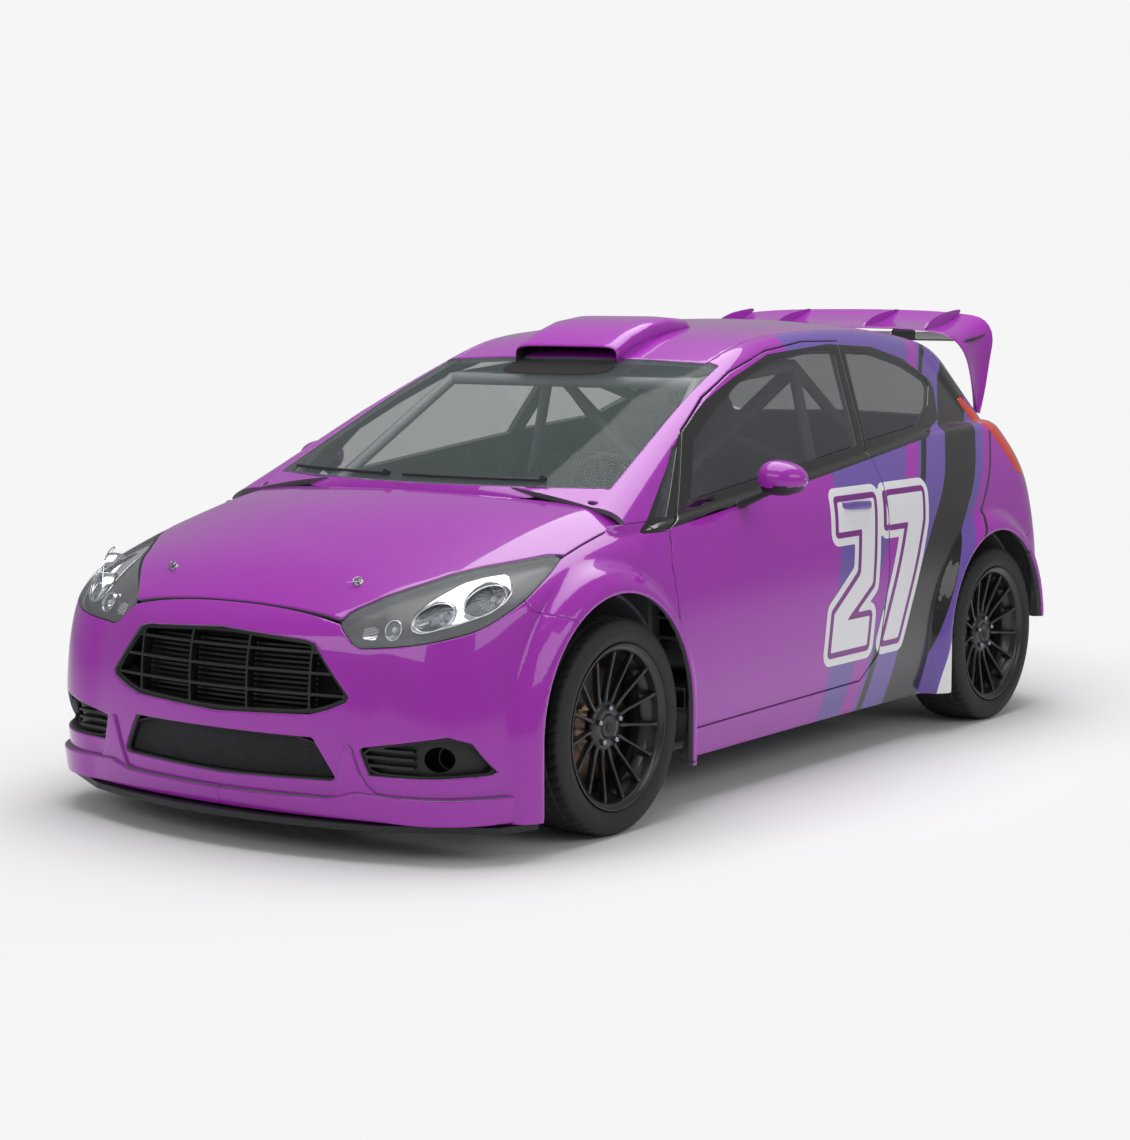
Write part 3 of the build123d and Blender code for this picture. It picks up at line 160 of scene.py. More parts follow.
# Headlamp lens: clear polycarbonate.
lamp_lens = glass("Polycarbonate lens, hard coated", "d8dde2", 0.10)

# %% [markdown]
# ## The body's form
# A pressed car body is one smooth skin that is cut into panels. The skin here is the same as the CAD model's:
# plan outlines at heights z, a crowned top over them, and the greenhouse above the belt line. A ray from the
# car's spine finds the skin, so every panel samples the same surface and neighbours line up.
# %% Form tables, in millimetres as the CAD model has them
# z, nose_y, nose_half, nose_end_y, front_half, front_y, mid_half, rear_half, rear_y, tail_half, tail_end_y, tail_y
LOWER_BODY = [
    (110, -1925, 560, -1862, 846, -1600, 806, 846, 1640, 560, 1850, 1895),
    (260, -1952, 560, -1882, 856, -1600, 846, 856, 1640, 600, 1905, 1955),
    (480, -1962, 540, -1884, 852, -1600, 862, 862, 1640, 610, 1918, 1976),
    (650, -1930, 520, -1850, 842, -1560, 864, 862, 1635, 600, 1890, 1945),
    (780, -1845, 480, -1770, 822, -1500, 856, 852, 1625, 590, 1860, 1910),
    (900, -1700, 440, -1640, 776, -1400, 834, 832, 1600, 570, 1830, 1880),
    (1000, -1550, 400, -1500, 728, -1300, 786, 792, 1570, 540, 1790, 1838),
    (1090, -1400, 360, -1360, 684, -1200, 736, 742, 1530, 500, 1740, 1790),
]
GREENHOUSE = [
    (900, -1262, 684, -1110, 786, -1030, 802, 770, 1560, 590, 1800, 1866),
    (1020, -1000, 652, -860, 732, -770, 766, 730, 1500, 566, 1748, 1812),
    (1180, -632, 608, -524, 664, -440, 692, 648, 1410, 530, 1656, 1712),
    (1360, -218, 558, -140, 586, -60, 600, 560, 1300, 486, 1530, 1580),
    (1520, 150, 514, 200, 520, 270, 522, 486, 1190, 440, 1400, 1440),
]
# y, centre_z, shoulder_x, shoulder_z, edge_z
BONNET_TOP = [
    (-2060, 540, 560, 500, 400), (-1930, 655, 560, 607, 505), (-1868, 704, 560, 655, 556),
    (-1740, 786, 570, 738, 650), (-1560, 860, 600, 808, 716), (-1355, 922, 620, 870, 768),
    (-1120, 970, 640, 926, 790), (-880, 1000, 650, 956, 800),
]
ROOF_TOP = [
    (-460, 1300, 540, 1268, 1060), (-180, 1374, 540, 1344, 1140), (60, 1438, 540, 1408, 1200),
    (320, 1470, 540, 1437, 1230), (640, 1484, 540, 1447, 1240), (940, 1480, 535, 1440, 1230),
    (1240, 1460, 530, 1412, 1200), (1500, 1422, 520, 1366, 1150), (1760, 1372, 510, 1310, 1090),
]
BELT = np.array([(-882, 892), (500, 1034), (987, 1085), (1300, 1095), (2200, 1095)]) * MM
EDGE_X = 884 * MM
BELT_START_Y = -0.882
FRONT_ARCH = (-1.212, 0.330, 0.388)     # y, z and radius of the opening
REAR_ARCH = (1.290, 0.330, 0.378)
FLARE = np.array([(-60, 900), (-8, 905), (10, 910), (30, 903), (66, 874), (110, 760), (400, 300)]) * MM
CORNER_BULGE = 0.70

# %% Splines and arcs


def natural_spline(knots, values, at):
    """Natural cubic spline through rows of values at the knots, read at the points at."""
    count = len(knots)
    step = np.diff(knots)
    system, right = np.eye(count), np.zeros(values.shape)
    for i in range(1, count - 1):
        system[i, i - 1:i + 2] = step[i - 1], 2 * (step[i - 1] + step[i]), step[i]
        right[i] = 6 * ((values[i + 1] - values[i]) / step[i] - (values[i] - values[i - 1]) / step[i - 1])
    bend = np.linalg.solve(system, right)
    k = np.clip(np.searchsorted(knots, at) - 1, 0, count - 2)
    h, a = step[k][:, None], (knots[k + 1] - at)[:, None]
    b = (at - knots[k])[:, None]
    return (bend[k] * a ** 3 + bend[k + 1] * b ** 3) / (6 * h) + (values[k] / h - bend[k] * h / 6) * a \
        + (values[k + 1] / h - bend[k + 1] * h / 6) * b


def dense(table):
    """A table in metres, resampled every 2 mm of its first column: (first value, rows)."""
    rows = np.array(table, float) * MM
    at = np.arange(rows[0, 0], rows[-1, 0], 2 * MM)
    return rows[0, 0], natural_spline(rows[:, 0], rows[:, 1:], at)


def row_at(resampled, value):
    """Rows of a resampled table at any array of values, held at its ends."""
    start, rows = resampled
    place = np.clip((value - start) / (2 * MM), 0, len(rows) - 1.001)
    k = place.astype(int)
    return np.moveaxis(rows[k] + (rows[k + 1] - rows[k]) * (place - k)[..., None], -1, 0)


def circle_x(y, ax, ay, mx, my, bx, by):
    """x at y of the circle through (ax, ay), (mx, my) and (bx, by), on its outer side."""
    d = 2 * (ax * (my - by) + mx * (by - ay) + bx * (ay - my))
    a, m, b = ax * ax + ay * ay, mx * mx + my * my, bx * bx + by * by
    ux = (a * (my - by) + m * (by - ay) + b * (ay - my)) / d
    uy = (a * (bx - mx) + m * (ax - bx) + b * (mx - ax)) / d
    return ux + np.sqrt(np.maximum((ax - ux) ** 2 + (ay - uy) ** 2 - (y - uy) ** 2, 0))


def parabola(t, a, fa, m, fm, b, fb):
    """Value at t of the parabola through three points."""
    return fa * (t - m) * (t - b) / ((a - m) * (a - b)) + fm * (t - a) * (t - b) / ((m - a) * (m - b)) \
        + fb * (t - a) * (t - m) / ((b - a) * (b - m))


PLANS = {"lower": dense(LOWER_BODY), "cabin": dense(GREENHOUSE)}
CROWNS = {"lower": dense(BONNET_TOP), "cabin": dense(ROOF_TOP)}


def half_width(y, z, form):
    """Half width of the plan outline at height z: nose, corner, side, corner and tail arcs."""
    nose_y, nose_x, nose_end, front_x, front_y, mid_x, rear_x, rear_y, tail_x, tail_end, tail_y = \
        row_at(PLANS[form], z)
    corner_f = circle_x(y, nose_x, nose_end, nose_x + (front_x - nose_x) * CORNER_BULGE,
                        nose_end + (front_y - nose_end) * (1 - CORNER_BULGE), front_x, front_y)
    corner_r = circle_x(y, tail_x, tail_end, tail_x + (rear_x - tail_x) * CORNER_BULGE,
                        tail_end + (rear_y - tail_end) * (1 - CORNER_BULGE), rear_x, rear_y)
    side = parabola(y, front_y, front_x, (front_y + rear_y) / 2, mid_x, rear_y, rear_x)
    ends = []
    for end_x, end_y, tip_y in ((nose_x, nose_end, nose_y), (tail_x, tail_end, tail_y)):
        depth = np.abs(end_y - tip_y)
        radius = (end_x ** 2 + depth ** 2) / (2 * depth)
        ends.append(np.sqrt(np.maximum(radius ** 2 - (radius - np.abs(y - tip_y)) ** 2, 0)))
    return np.select([y < nose_y, y < nose_end, y < front_y, y < rear_y, y < tail_end, y < tail_y],
                     [y - nose_y, ends[0], corner_f, side, corner_r, ends[1]], tail_y - y)


def top_z(x, y, form):
    """Height of the crowned top: an arc between the shoulders and an arc down to each edge."""
    centre, shoulder_x, shoulder, edge = row_at(CROWNS[form], y)
    rise = centre - shoulder
    radius = (shoulder_x ** 2 + rise ** 2) / (2 * rise)
    middle = centre - radius + np.sqrt(np.maximum(radius ** 2 - x ** 2, 0))
    mid_x = (shoulder_x + EDGE_X) / 2
    side = parabola(np.abs(x), shoulder_x, shoulder, mid_x, shoulder * 0.62 + edge * 0.38, EDGE_X, edge)
    crown = np.where(np.abs(x) < shoulder_x, middle, side)
    if form == "cabin":
        return crown
    belt = np.interp(y, BELT[:, 0], BELT[:, 1])
    share = np.clip((y - BELT_START_Y + 0.10) / 0.10, 0, 1)
    share = share * share * (3 - 2 * share)
    return crown + (belt - crown) * share


SPINE_Z = 0.48
SPINE_HALF = 1.30
SWING = 0.75        # arc length per radian where the section plane swings round the nose and tail
QUARTER = SWING * math.pi / 2
MID = QUARTER + 2 * SPINE_HALF      # where the swing round the tail starts


def section(u):
    """Foot y and direction (x, y) of the section plane at u, measured round the car from the nose's centre."""
    a = np.abs(u)
    foot = np.clip(a - QUARTER - SPINE_HALF, -SPINE_HALF, SPINE_HALF)
    turn = np.where(a < QUARTER, (QUARTER - a) / SWING, np.maximum(a - MID, 0) / SWING)
    across, along = np.cos(turn), np.where(a < QUARTER, -np.sin(turn), np.sin(turn))
    return foot, across * np.where(u < 0, -1, 1), along


def station(y):
    """u of the section plane that stands square across the car at y."""
    return y + QUARTER + SPINE_HALF


def smooth_min(a, b, width):
    """Smaller of two values, blended within a width of their crossing."""
    h = np.clip(0.5 + 0.5 * (b - a) / width, 0, 1)
    return b + (a - b) * h - width * h * (1 - h)


def reach(foot, across, along, tilt, form, rounding):
    """Distance along each ray to the skin of one form, with its edge rounded."""
    hits = []
    for kind in ("plan", "top"):
        near, away = np.zeros(foot.shape), np.full(foot.shape, 2.4)
        for _ in range(17):
            r = (near + away) / 2
            x, y = r * np.cos(tilt) * across, foot + r * np.cos(tilt) * along
            z = SPINE_Z + r * np.sin(tilt)
            inside = half_width(y, z, form) > np.abs(x) if kind == "plan" else top_z(x, y, form) > z
            near, away = np.where(inside, r, near), np.where(inside, away, r)
        hits.append((near + away) / 2)
    return smooth_min(hits[0], hits[1], rounding)


def soften(values, cells):
    """Rows averaged over a few neighbours along the first axis, which softens creases across it."""
    if cells < 1:
        return values
    weights = np.hanning(2 * cells + 3)[1:-1]
    padded = np.concatenate([2 * values[:1] - values[cells:0:-1], values,
                             2 * values[-1:] - values[-2:-cells - 2:-1]])
    return sum(w * padded[i:i + len(values)] for i, w in enumerate(weights)) / weights.sum()


def skin(us, tilts, forms=("lower", "cabin"), inset=0.0, cells=3, rounding=0.045, square=False):
    """Points of the body's skin on a grid of section planes us and elevations tilts: P = foot + r(u, tilt) d.

    With square, us are y values and every section stands square across the car."""
    u, tilt = np.meshgrid(us, tilts, indexing="ij")
    foot, across, along = (u, np.ones(u.shape), np.zeros(u.shape)) if square else section(u)
    r = np.max([reach(foot, across, along, tilt, form, rounding) for form in forms], axis=0)
    r = soften(r, cells) - inset
    return np.stack([r * np.cos(tilt) * across, foot + r * np.cos(tilt) * along, SPINE_Z + r * np.sin(tilt)], -1)


def arch_distance(points, arch):
    """Distance outside a wheel-arch opening, seen from the side: half round above, straight legs below."""
    y, z = points[..., 1] - arch[0], points[..., 2] - arch[1]
    return np.where(z > 0, np.hypot(y, z), np.abs(y)) - arch[2]


def flared(points):
    """Skin points with the wheel-arch flares pushed out: |x| is the larger of skin and flare, blended."""
    out = points.copy()
    side = np.abs(points[..., 0])
    for arch in (FRONT_ARCH, REAR_ARCH):
        width = np.interp(arch_distance(points, arch), FLARE[:, 0], FLARE[:, 1])
        side = -smooth_min(-side, -width, 0.022)
    near_side = np.abs(points[..., 0]) > 0.60
    out[..., 0] = np.where(near_side, np.sign(points[..., 0]) * side, points[..., 0])
    return out


print("skin at the door:", skin(np.array([station(0.0)]), np.radians([5.0])))

# %% [markdown]
# ## Cutting panels out of the skin
# A press tool trims each panel along a line and folds its edge under. Here a signed distance says how far each
# point lies outside the trim line; triangles are cut along it, and the last millimetres roll inward.
# %% Mesh tools


def smooth_loop(points, rounds=1):
    """Closed outline with its corners cut at quarter points, once or more."""
    points = np.array(points, float)
    for _ in range(rounds):
        after = np.roll(points, -1, axis=0)
        points = np.stack([points * 0.82 + after * 0.18, points * 0.18 + after * 0.82], 1).reshape(-1, 2)
    return points


def outline_distance(a, b, outline):
    """Signed distance of points (a, b) from a closed outline, negative inside."""
    p = np.stack([a, b], -1)
    start = np.array(outline, float)
    run = np.roll(start, -1, axis=0) - start
    nearest = np.full(a.shape, np.inf)
    crossings = np.zeros(a.shape, int)
    for s, d in zip(start, run):
        away = p - s
        along = np.clip((away @ d) / max(d @ d, 1e-12), 0, 1)
        nearest = np.minimum(nearest, np.hypot(*np.moveaxis(away - along[..., None] * d, -1, 0)))
        spans = (s[1] > p[..., 1]) != (s[1] + d[1] > p[..., 1])
        if d[1]:
            crossings += spans & (p[..., 0] < s[0] + (p[..., 1] - s[1]) * d[0] / d[1])
    return np.where(crossings % 2 == 1, -nearest, nearest)


def grid_triangles(rows, columns):
    """Two triangles for each cell of a grid of points, rows by columns."""
    k = np.arange(rows * columns).reshape(rows, columns)
    a, b, c, d = k[:-1, :-1].ravel(), k[1:, :-1].ravel(), k[1:, 1:].ravel(), k[:-1, 1:].ravel()
    return np.concatenate([np.stack([a, b, c], 1), np.stack([a, c, d], 1)])


def split(rows, tris, value):
    """Cut triangles along value = 0. Rows are points with any further columns, which are interpolated too."""
    value = np.where(np.abs(value) < 1e-8, 0, value)
    side = value > 0
    mixed = (side[tris].sum(1) % 3) != 0
    kept, cut = tris[~mixed], tris[mixed]
    count = side[cut].sum(1)
    lone = np.where((count == 1)[:, None], side[cut], ~side[cut]).argmax(1)
    cut = np.stack([cut[np.arange(len(cut)), (lone + k) % 3] for k in range(3)], 1)
    edges = np.sort(np.concatenate([cut[:, [0, 1]], cut[:, [0, 2]]]), 1)
    unique, where = np.unique(edges, axis=0, return_inverse=True)
    where = where.ravel()
    va, vb = value[unique[:, 0]], value[unique[:, 1]]
    share = (va / np.where(va == vb, 1, va - vb))[:, None]
    fresh = rows[unique[:, 0]] * (1 - share) + rows[unique[:, 1]] * share
    p, q = len(rows) + where[:len(cut)], len(rows) + where[len(cut):]
    new = np.concatenate([np.stack([cut[:, 0], p, q], 1), np.stack([p, cut[:, 1], cut[:, 2]], 1),
                          np.stack([p, cut[:, 2], q], 1)])
    return np.concatenate([rows, fresh]), np.concatenate([kept, new])


def vertex_normals(verts, tris):
    """Unit normals at the points, weighted by area."""
    face = np.cross(verts[tris[:, 1]] - verts[tris[:, 0]], verts[tris[:, 2]] - verts[tris[:, 0]])
    total = np.zeros(verts.shape)
    for k in range(3):
        np.add.at(total, tris[:, k], face)
    return total / np.maximum(np.linalg.norm(total, axis=1, keepdims=True), 1e-12)


def border(tris):
    """Directed edges that only one triangle uses."""
    edges = np.concatenate([tris[:, [0, 1]], tris[:, [1, 2]], tris[:, [2, 0]]])
    key = np.sort(edges, 1)
    order = key[:, 0].astype(np.int64) * (key.max() + 1) + key[:, 1]
    _, where, counts = np.unique(order, return_inverse=True, return_counts=True)
    return edges[counts[where.ravel()] == 1]


def add_object(name, verts, faces, materials, body, replaces=(), face_slots=None, sharp=None):
    """Blender object from arrays of points and faces, riding on a CAD body."""
    mesh = bpy.data.meshes.new(name)
    mesh.from_pydata(np.asarray(verts).tolist(), [], faces.tolist() if hasattr(faces, "tolist") else faces)
    for finish in materials:
        mesh.materials.append(finish)
    if face_slots is not None:
        mesh.polygons.foreach_set("material_index", np.asarray(face_slots, np.int32))
    mesh.polygons.foreach_set("use_smooth", np.ones(len(mesh.polygons), bool))
    if sharp is not None and len(sharp):
        ends = np.empty(2 * len(mesh.edges), np.int32)
        mesh.edges.foreach_get("vertices", ends)
        big = len(mesh.vertices)
        keys = np.sort(ends.reshape(-1, 2), 1) @ np.array([big, 1])
        wanted = np.sort(np.asarray(sharp), 1) @ np.array([big, 1])
        mesh.attributes.new("sharp_edge", "BOOLEAN", "EDGE").data.foreach_set("value", np.isin(keys, wanted))
    mesh.update()
    made = bpy.data.objects.new(name, mesh)
    bpy.context.scene.collection.objects.link(made)
    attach(made, body)
    if replaces:
        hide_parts(*replaces)
    return made


def sheet(verts, tris, value, thickness, roll=2.5 * MM, zone=None):
    """Panel where value < 0: trimmed, its edge rolled inward, and given a thickness.

    zone marks the faces where it is negative as slot 2. Gives points, faces, slots and sharp edges."""
    zone = np.ones(len(verts)) if zone is None else zone
    rows, tris = split(np.column_stack([verts, value, zone]), tris, value)
    tris = tris[rows[tris, 3].mean(1) < 0]
    for level in ((roll * 0.35, roll) if roll else ()):
        rows, tris = split(rows, tris, rows[:, 3] + level)
    rows, tris = split(rows, tris, rows[:, 4])
    used, where = np.unique(tris, return_inverse=True)
    rows, tris = rows[used], where.reshape(tris.shape)
    corners = rows[tris, :3]
    area = np.linalg.norm(np.cross(corners[:, 1] - corners[:, 0], corners[:, 2] - corners[:, 0]), axis=1)
    tris = tris[area > 1e-12]
    verts, value = rows[:, :3], rows[:, 3]
    normals = vertex_normals(verts, tris)
    if roll:
        near = np.clip(roll + value, 0, roll)
        verts = verts - normals * (roll - np.sqrt(np.maximum(roll ** 2 - near ** 2, 0)))[:, None]
    count = len(verts)
    inner = verts - normals * thickness
    edge = border(tris)
    walls = np.concatenate([np.stack([edge[:, 1], edge[:, 0], edge[:, 0] + count], 1),
                            np.stack([edge[:, 1], edge[:, 0] + count, edge[:, 1] + count], 1)])
    faces = np.concatenate([tris, tris[:, ::-1] + count, walls])
    outer = np.where(rows[tris, 4].mean(1) < 0, 2, 0)
    slots = np.concatenate([outer, np.ones(len(tris)), np.ones(len(walls))])
    return np.concatenate([verts, inner]), faces, slots, np.concatenate([edge, edge + count])


def grid_values(us, tilts, cell_u, cell_tilt):
    """Evenly spaced values over two ranges."""
    return (np.linspace(*us, max(int((us[1] - us[0]) / cell_u), 2) + 1),
            np.linspace(*tilts, max(int((tilts[1] - tilts[0]) / cell_tilt), 2) + 1))


CELL = 0.0105


def body_panel(name, us, tilts, cuts, finishes, body, replaces=None, thickness=0.018, forms=("lower", "cabin"),
               inset=0.0, flare=True, roll=2.5 * MM, slot="body_paint", twin=False, zone=None, cells=3,
               rounding=0.045, cell=None, square=False, also=(), flip=False):
    """Panel of the skin over a range of section planes and elevations in degrees, kept where every cut is negative.

    finishes are the outside, the inside and the zone. twin makes the right-hand piece too, from the left names.
    also names further CAD nodes that the left-hand piece replaces. flip makes a right-hand piece alone."""
    cell = cell or CELL
    u_values, tilt_values = grid_values(us, np.radians(tilts), cell, cell / 0.95)
    points = skin(u_values, tilt_values, forms, inset, cells, rounding, square)
    if flare:
        points = flared(points)
    verts = points.reshape(-1, 3)
    tris = grid_triangles(len(u_values), len(tilt_values))
    value = np.max([cut(verts) for cut in cuts], axis=0)
    verts, faces, slots, sharp = sheet(verts, tris, value, thickness, roll, zone(verts) if zone else None)
    if flip:
        verts, faces = verts * [-1, 1, 1], faces[:, ::-1]
    nodes = ([replaces] if replaces else []) + list(also)
    made = add_object(name, verts, faces, finishes, body, nodes, slots, sharp)
    print(name, len(faces), "faces")
    if twin:
        add_object(name.replace("left", "right"), verts * [-1, 1, 1], faces[:, ::-1], finishes,
                   body.replace("left", "right"), [replaces.replace("left", "right")] if replaces else (), slots,
                   sharp)
    return made


# %% Trim lines, in metres, from the CAD model's outlines


def mm(points):
    """Outline in millimetres as an array in metres."""
    return np.array(points, float) * MM


def mirrored_outline(half):
    """Whole outline from its left half."""
    return list(half) + [(-x, v) for x, v in reversed(half) if x > 0]


DOOR = mm([(-781, 248), (-792, 408), (-845, 763), (-818, 872), (-740, 905), (-532, 1150), (-330, 1248), (-121, 1322),
           (141, 1386), (400, 1412), (640, 1410), (512, 1030), (512, 900), (500, 600), (446, 349), (333, 264)])
DOOR_WINDOW = mm([(-640, 945), (-490, 1120), (-300, 1210), (-110, 1286), (150, 1352), (400, 1378), (585, 1376),
                  (470, 1058)])
FRONT_QUARTER = mm([(-868, 902), (-800, 906), (-590, 1110), (-618, 1106)])
REAR_QUARTER = mm([(548, 1070), (985, 1105), (1150, 1170), (1236, 1236), (1236, 1262), (1099, 1318), (879, 1364),
                   (668, 1376)])
BONNET_PLAN = mm([(0, -1868), (440, -1866), (528, -1797), (687, -1664), (780, -1420), (752, -990), (540, -1024),
                  (440, -1049), (330, -1070), (220, -1086), (110, -1095), (0, -1098)])
HEADLAMP = mm([(0, 662), (45, 600), (117, 606), (253, 626), (387, 657), (512, 724), (600, 792), (648, 838),
               (357, 800), (150, 741), (35, 695)])
LAMP_ORIGIN = (0.413, -1.893)
LAMP_TURN = math.radians(40)
GRILLE = mm(mirrored_outline([(0, 636), (300, 618), (338, 608), (456, 466), (448, 450), (390, 425), (330, 408),
                              (0, 393)]))
INTAKE = mm(mirrored_outline([(0, 344), (342, 344), (410, 232), (392, 222), (0, 210)]))
FOG_BAY = mm([(487, 324), (649, 352), (741, 368), (789, 349), (832, 257), (716, 250), (513, 246)])
SCREEN = mm([(-662, 992), (662, 992), (560, 1350), (300, 1362), (0, 1366), (-300, 1362), (-560, 1350)])
TAILGATE = mm(mirrored_outline([(0, 640), (560, 640), (596, 700), (600, 900), (570, 1150), (520, 1330),
                                (478, 1560), (0, 1560)]))
REAR_WINDOW = mm(mirrored_outline([(0, 1112), (500, 1100), (505, 1150), (452, 1320), (430, 1345), (0, 1352)]))
TAIL_LAMP = mm([(1431, 1183), (1475, 1190), (1560, 1120), (1700, 935), (1690, 880), (1583, 905)])
BUMPER = mm([(-2300, 50), (-1440, 50), (-1440, 664), (-1560, 700), (-1600, 790), (-1700, 800), (-2300, 800)])
FENDER = mm([(-1440, 50), (-1440, 664), (-1560, 700), (-1600, 790), (-1700, 800), (-1700, 1010), (-1080, 1010),
             (-1080, 899), (-905, 899), (-900, 868), (-838, 868), (-768, 408), (-768, 243), (-800, 243),
             (-800, 165), (-1000, 165), (-1000, 50)])
REAR_BUMPER = mm([(1560, 385), (1560, 640), (1700, 690), (2300, 690), (2300, 300), (1985, 300), (1700, 345)])


def side_of(outline, grow=0.0, outside=False):
    """Cut by an outline in the side view (y, z), kept inside it, or outside it with a gap."""
    def cut(v):
        value = outline_distance(v[:, 1], v[:, 2], outline) - grow
        return -value if outside else value
    return cut


def front_of(outline, grow=0.0, outside=False, where=None):
    """Cut by an outline in the front view (|x| or x, z), limited to points where y is below or above a limit."""
    def cut(v):
        across = np.abs(v[:, 0]) if np.min(outline[:, 0]) >= 0 else v[:, 0]
        value = outline_distance(across, v[:, 2], outline) - grow
        value = -value if outside else value
        if where is not None:
            off = (v[:, 1] > where) if where < 0 else (v[:, 1] < where)
            value = np.where(off, -1.0 if outside else 1.0, value)
        return value
    return cut


def plan_of(half_outline, grow=0.0, outside=False, above=0.60):
    """Cut by an outline in the plan view of the left half (|x|, y), for points above a height."""
    closed = np.concatenate([half_outline, (half_outline * [-1, 1])[::-1]])
    def cut(v):
        value = outline_distance(v[:, 0], v[:, 1], closed) - grow
        value = np.where(v[:, 2] < above, 1.0, value)
        return -value if outside else value
    return cut


def lamp_of(grow=0.0, outside=False, outline=HEADLAMP):
    """Cut by the headlamp's outline on a plane turned with the corner of the nose."""
    def cut(v):
        x, y = np.abs(v[:, 0]) - LAMP_ORIGIN[0], v[:, 1] - LAMP_ORIGIN[1]
        u = x * math.cos(LAMP_TURN) + y * math.sin(LAMP_TURN)
        value = outline_distance(u, v[:, 2], smooth_loop(outline)) - grow
        value = np.where(v[:, 1] > -1.2, 1.0, value)
        return -value if outside else value
    return cut


def outside_arch(arch, less=0.0):
    """Cut that keeps what lies outside a wheel-arch opening."""
    return lambda v: -(arch_distance(v, arch) + less)


def above(height):
    """Cut that keeps what lies above a height."""
    return lambda v: height - v[:, 2]


def behind(y):
    """Cut that keeps what lies behind y."""
    return lambda v: y - v[:, 1]


def ahead(y):
    """Cut that keeps what lies ahead of y."""
    return lambda v: v[:, 1] - y


# %% [markdown]
# ## Paint and livery
# Rally cars are painted one colour and wrapped in printed film. The film's curved bands all follow one sweep,
# w = y - (a + b z + c z^2), so one ramp with hard steps over w colours them all.
# %% Paint
MAGENTA, VIOLET, INK, WHITE = "a128ae", "6a4fa6", "101012", "e9e9ec"
SWEEP = (0.523, 0.052, 0.479)       # a, b, c of the sweep
# Bands from w on: lower end of the band, in metres, and its colour.
BANDS = [(-9.0, VIOLET), (-0.306, MAGENTA), (-0.213, VIOLET), (-0.19, INK), (-0.15, VIOLET), (0.0, INK),
         (0.25, VIOLET), (0.31, MAGENTA), (0.365, INK), (0.38, MAGENTA)]
BAND_SPAN = 1.0
FILM_START = (0.06, 0.148)          # the film starts at y = a + b z
WEDGE = (0.31, 0.37)                # white where w is more and z is less


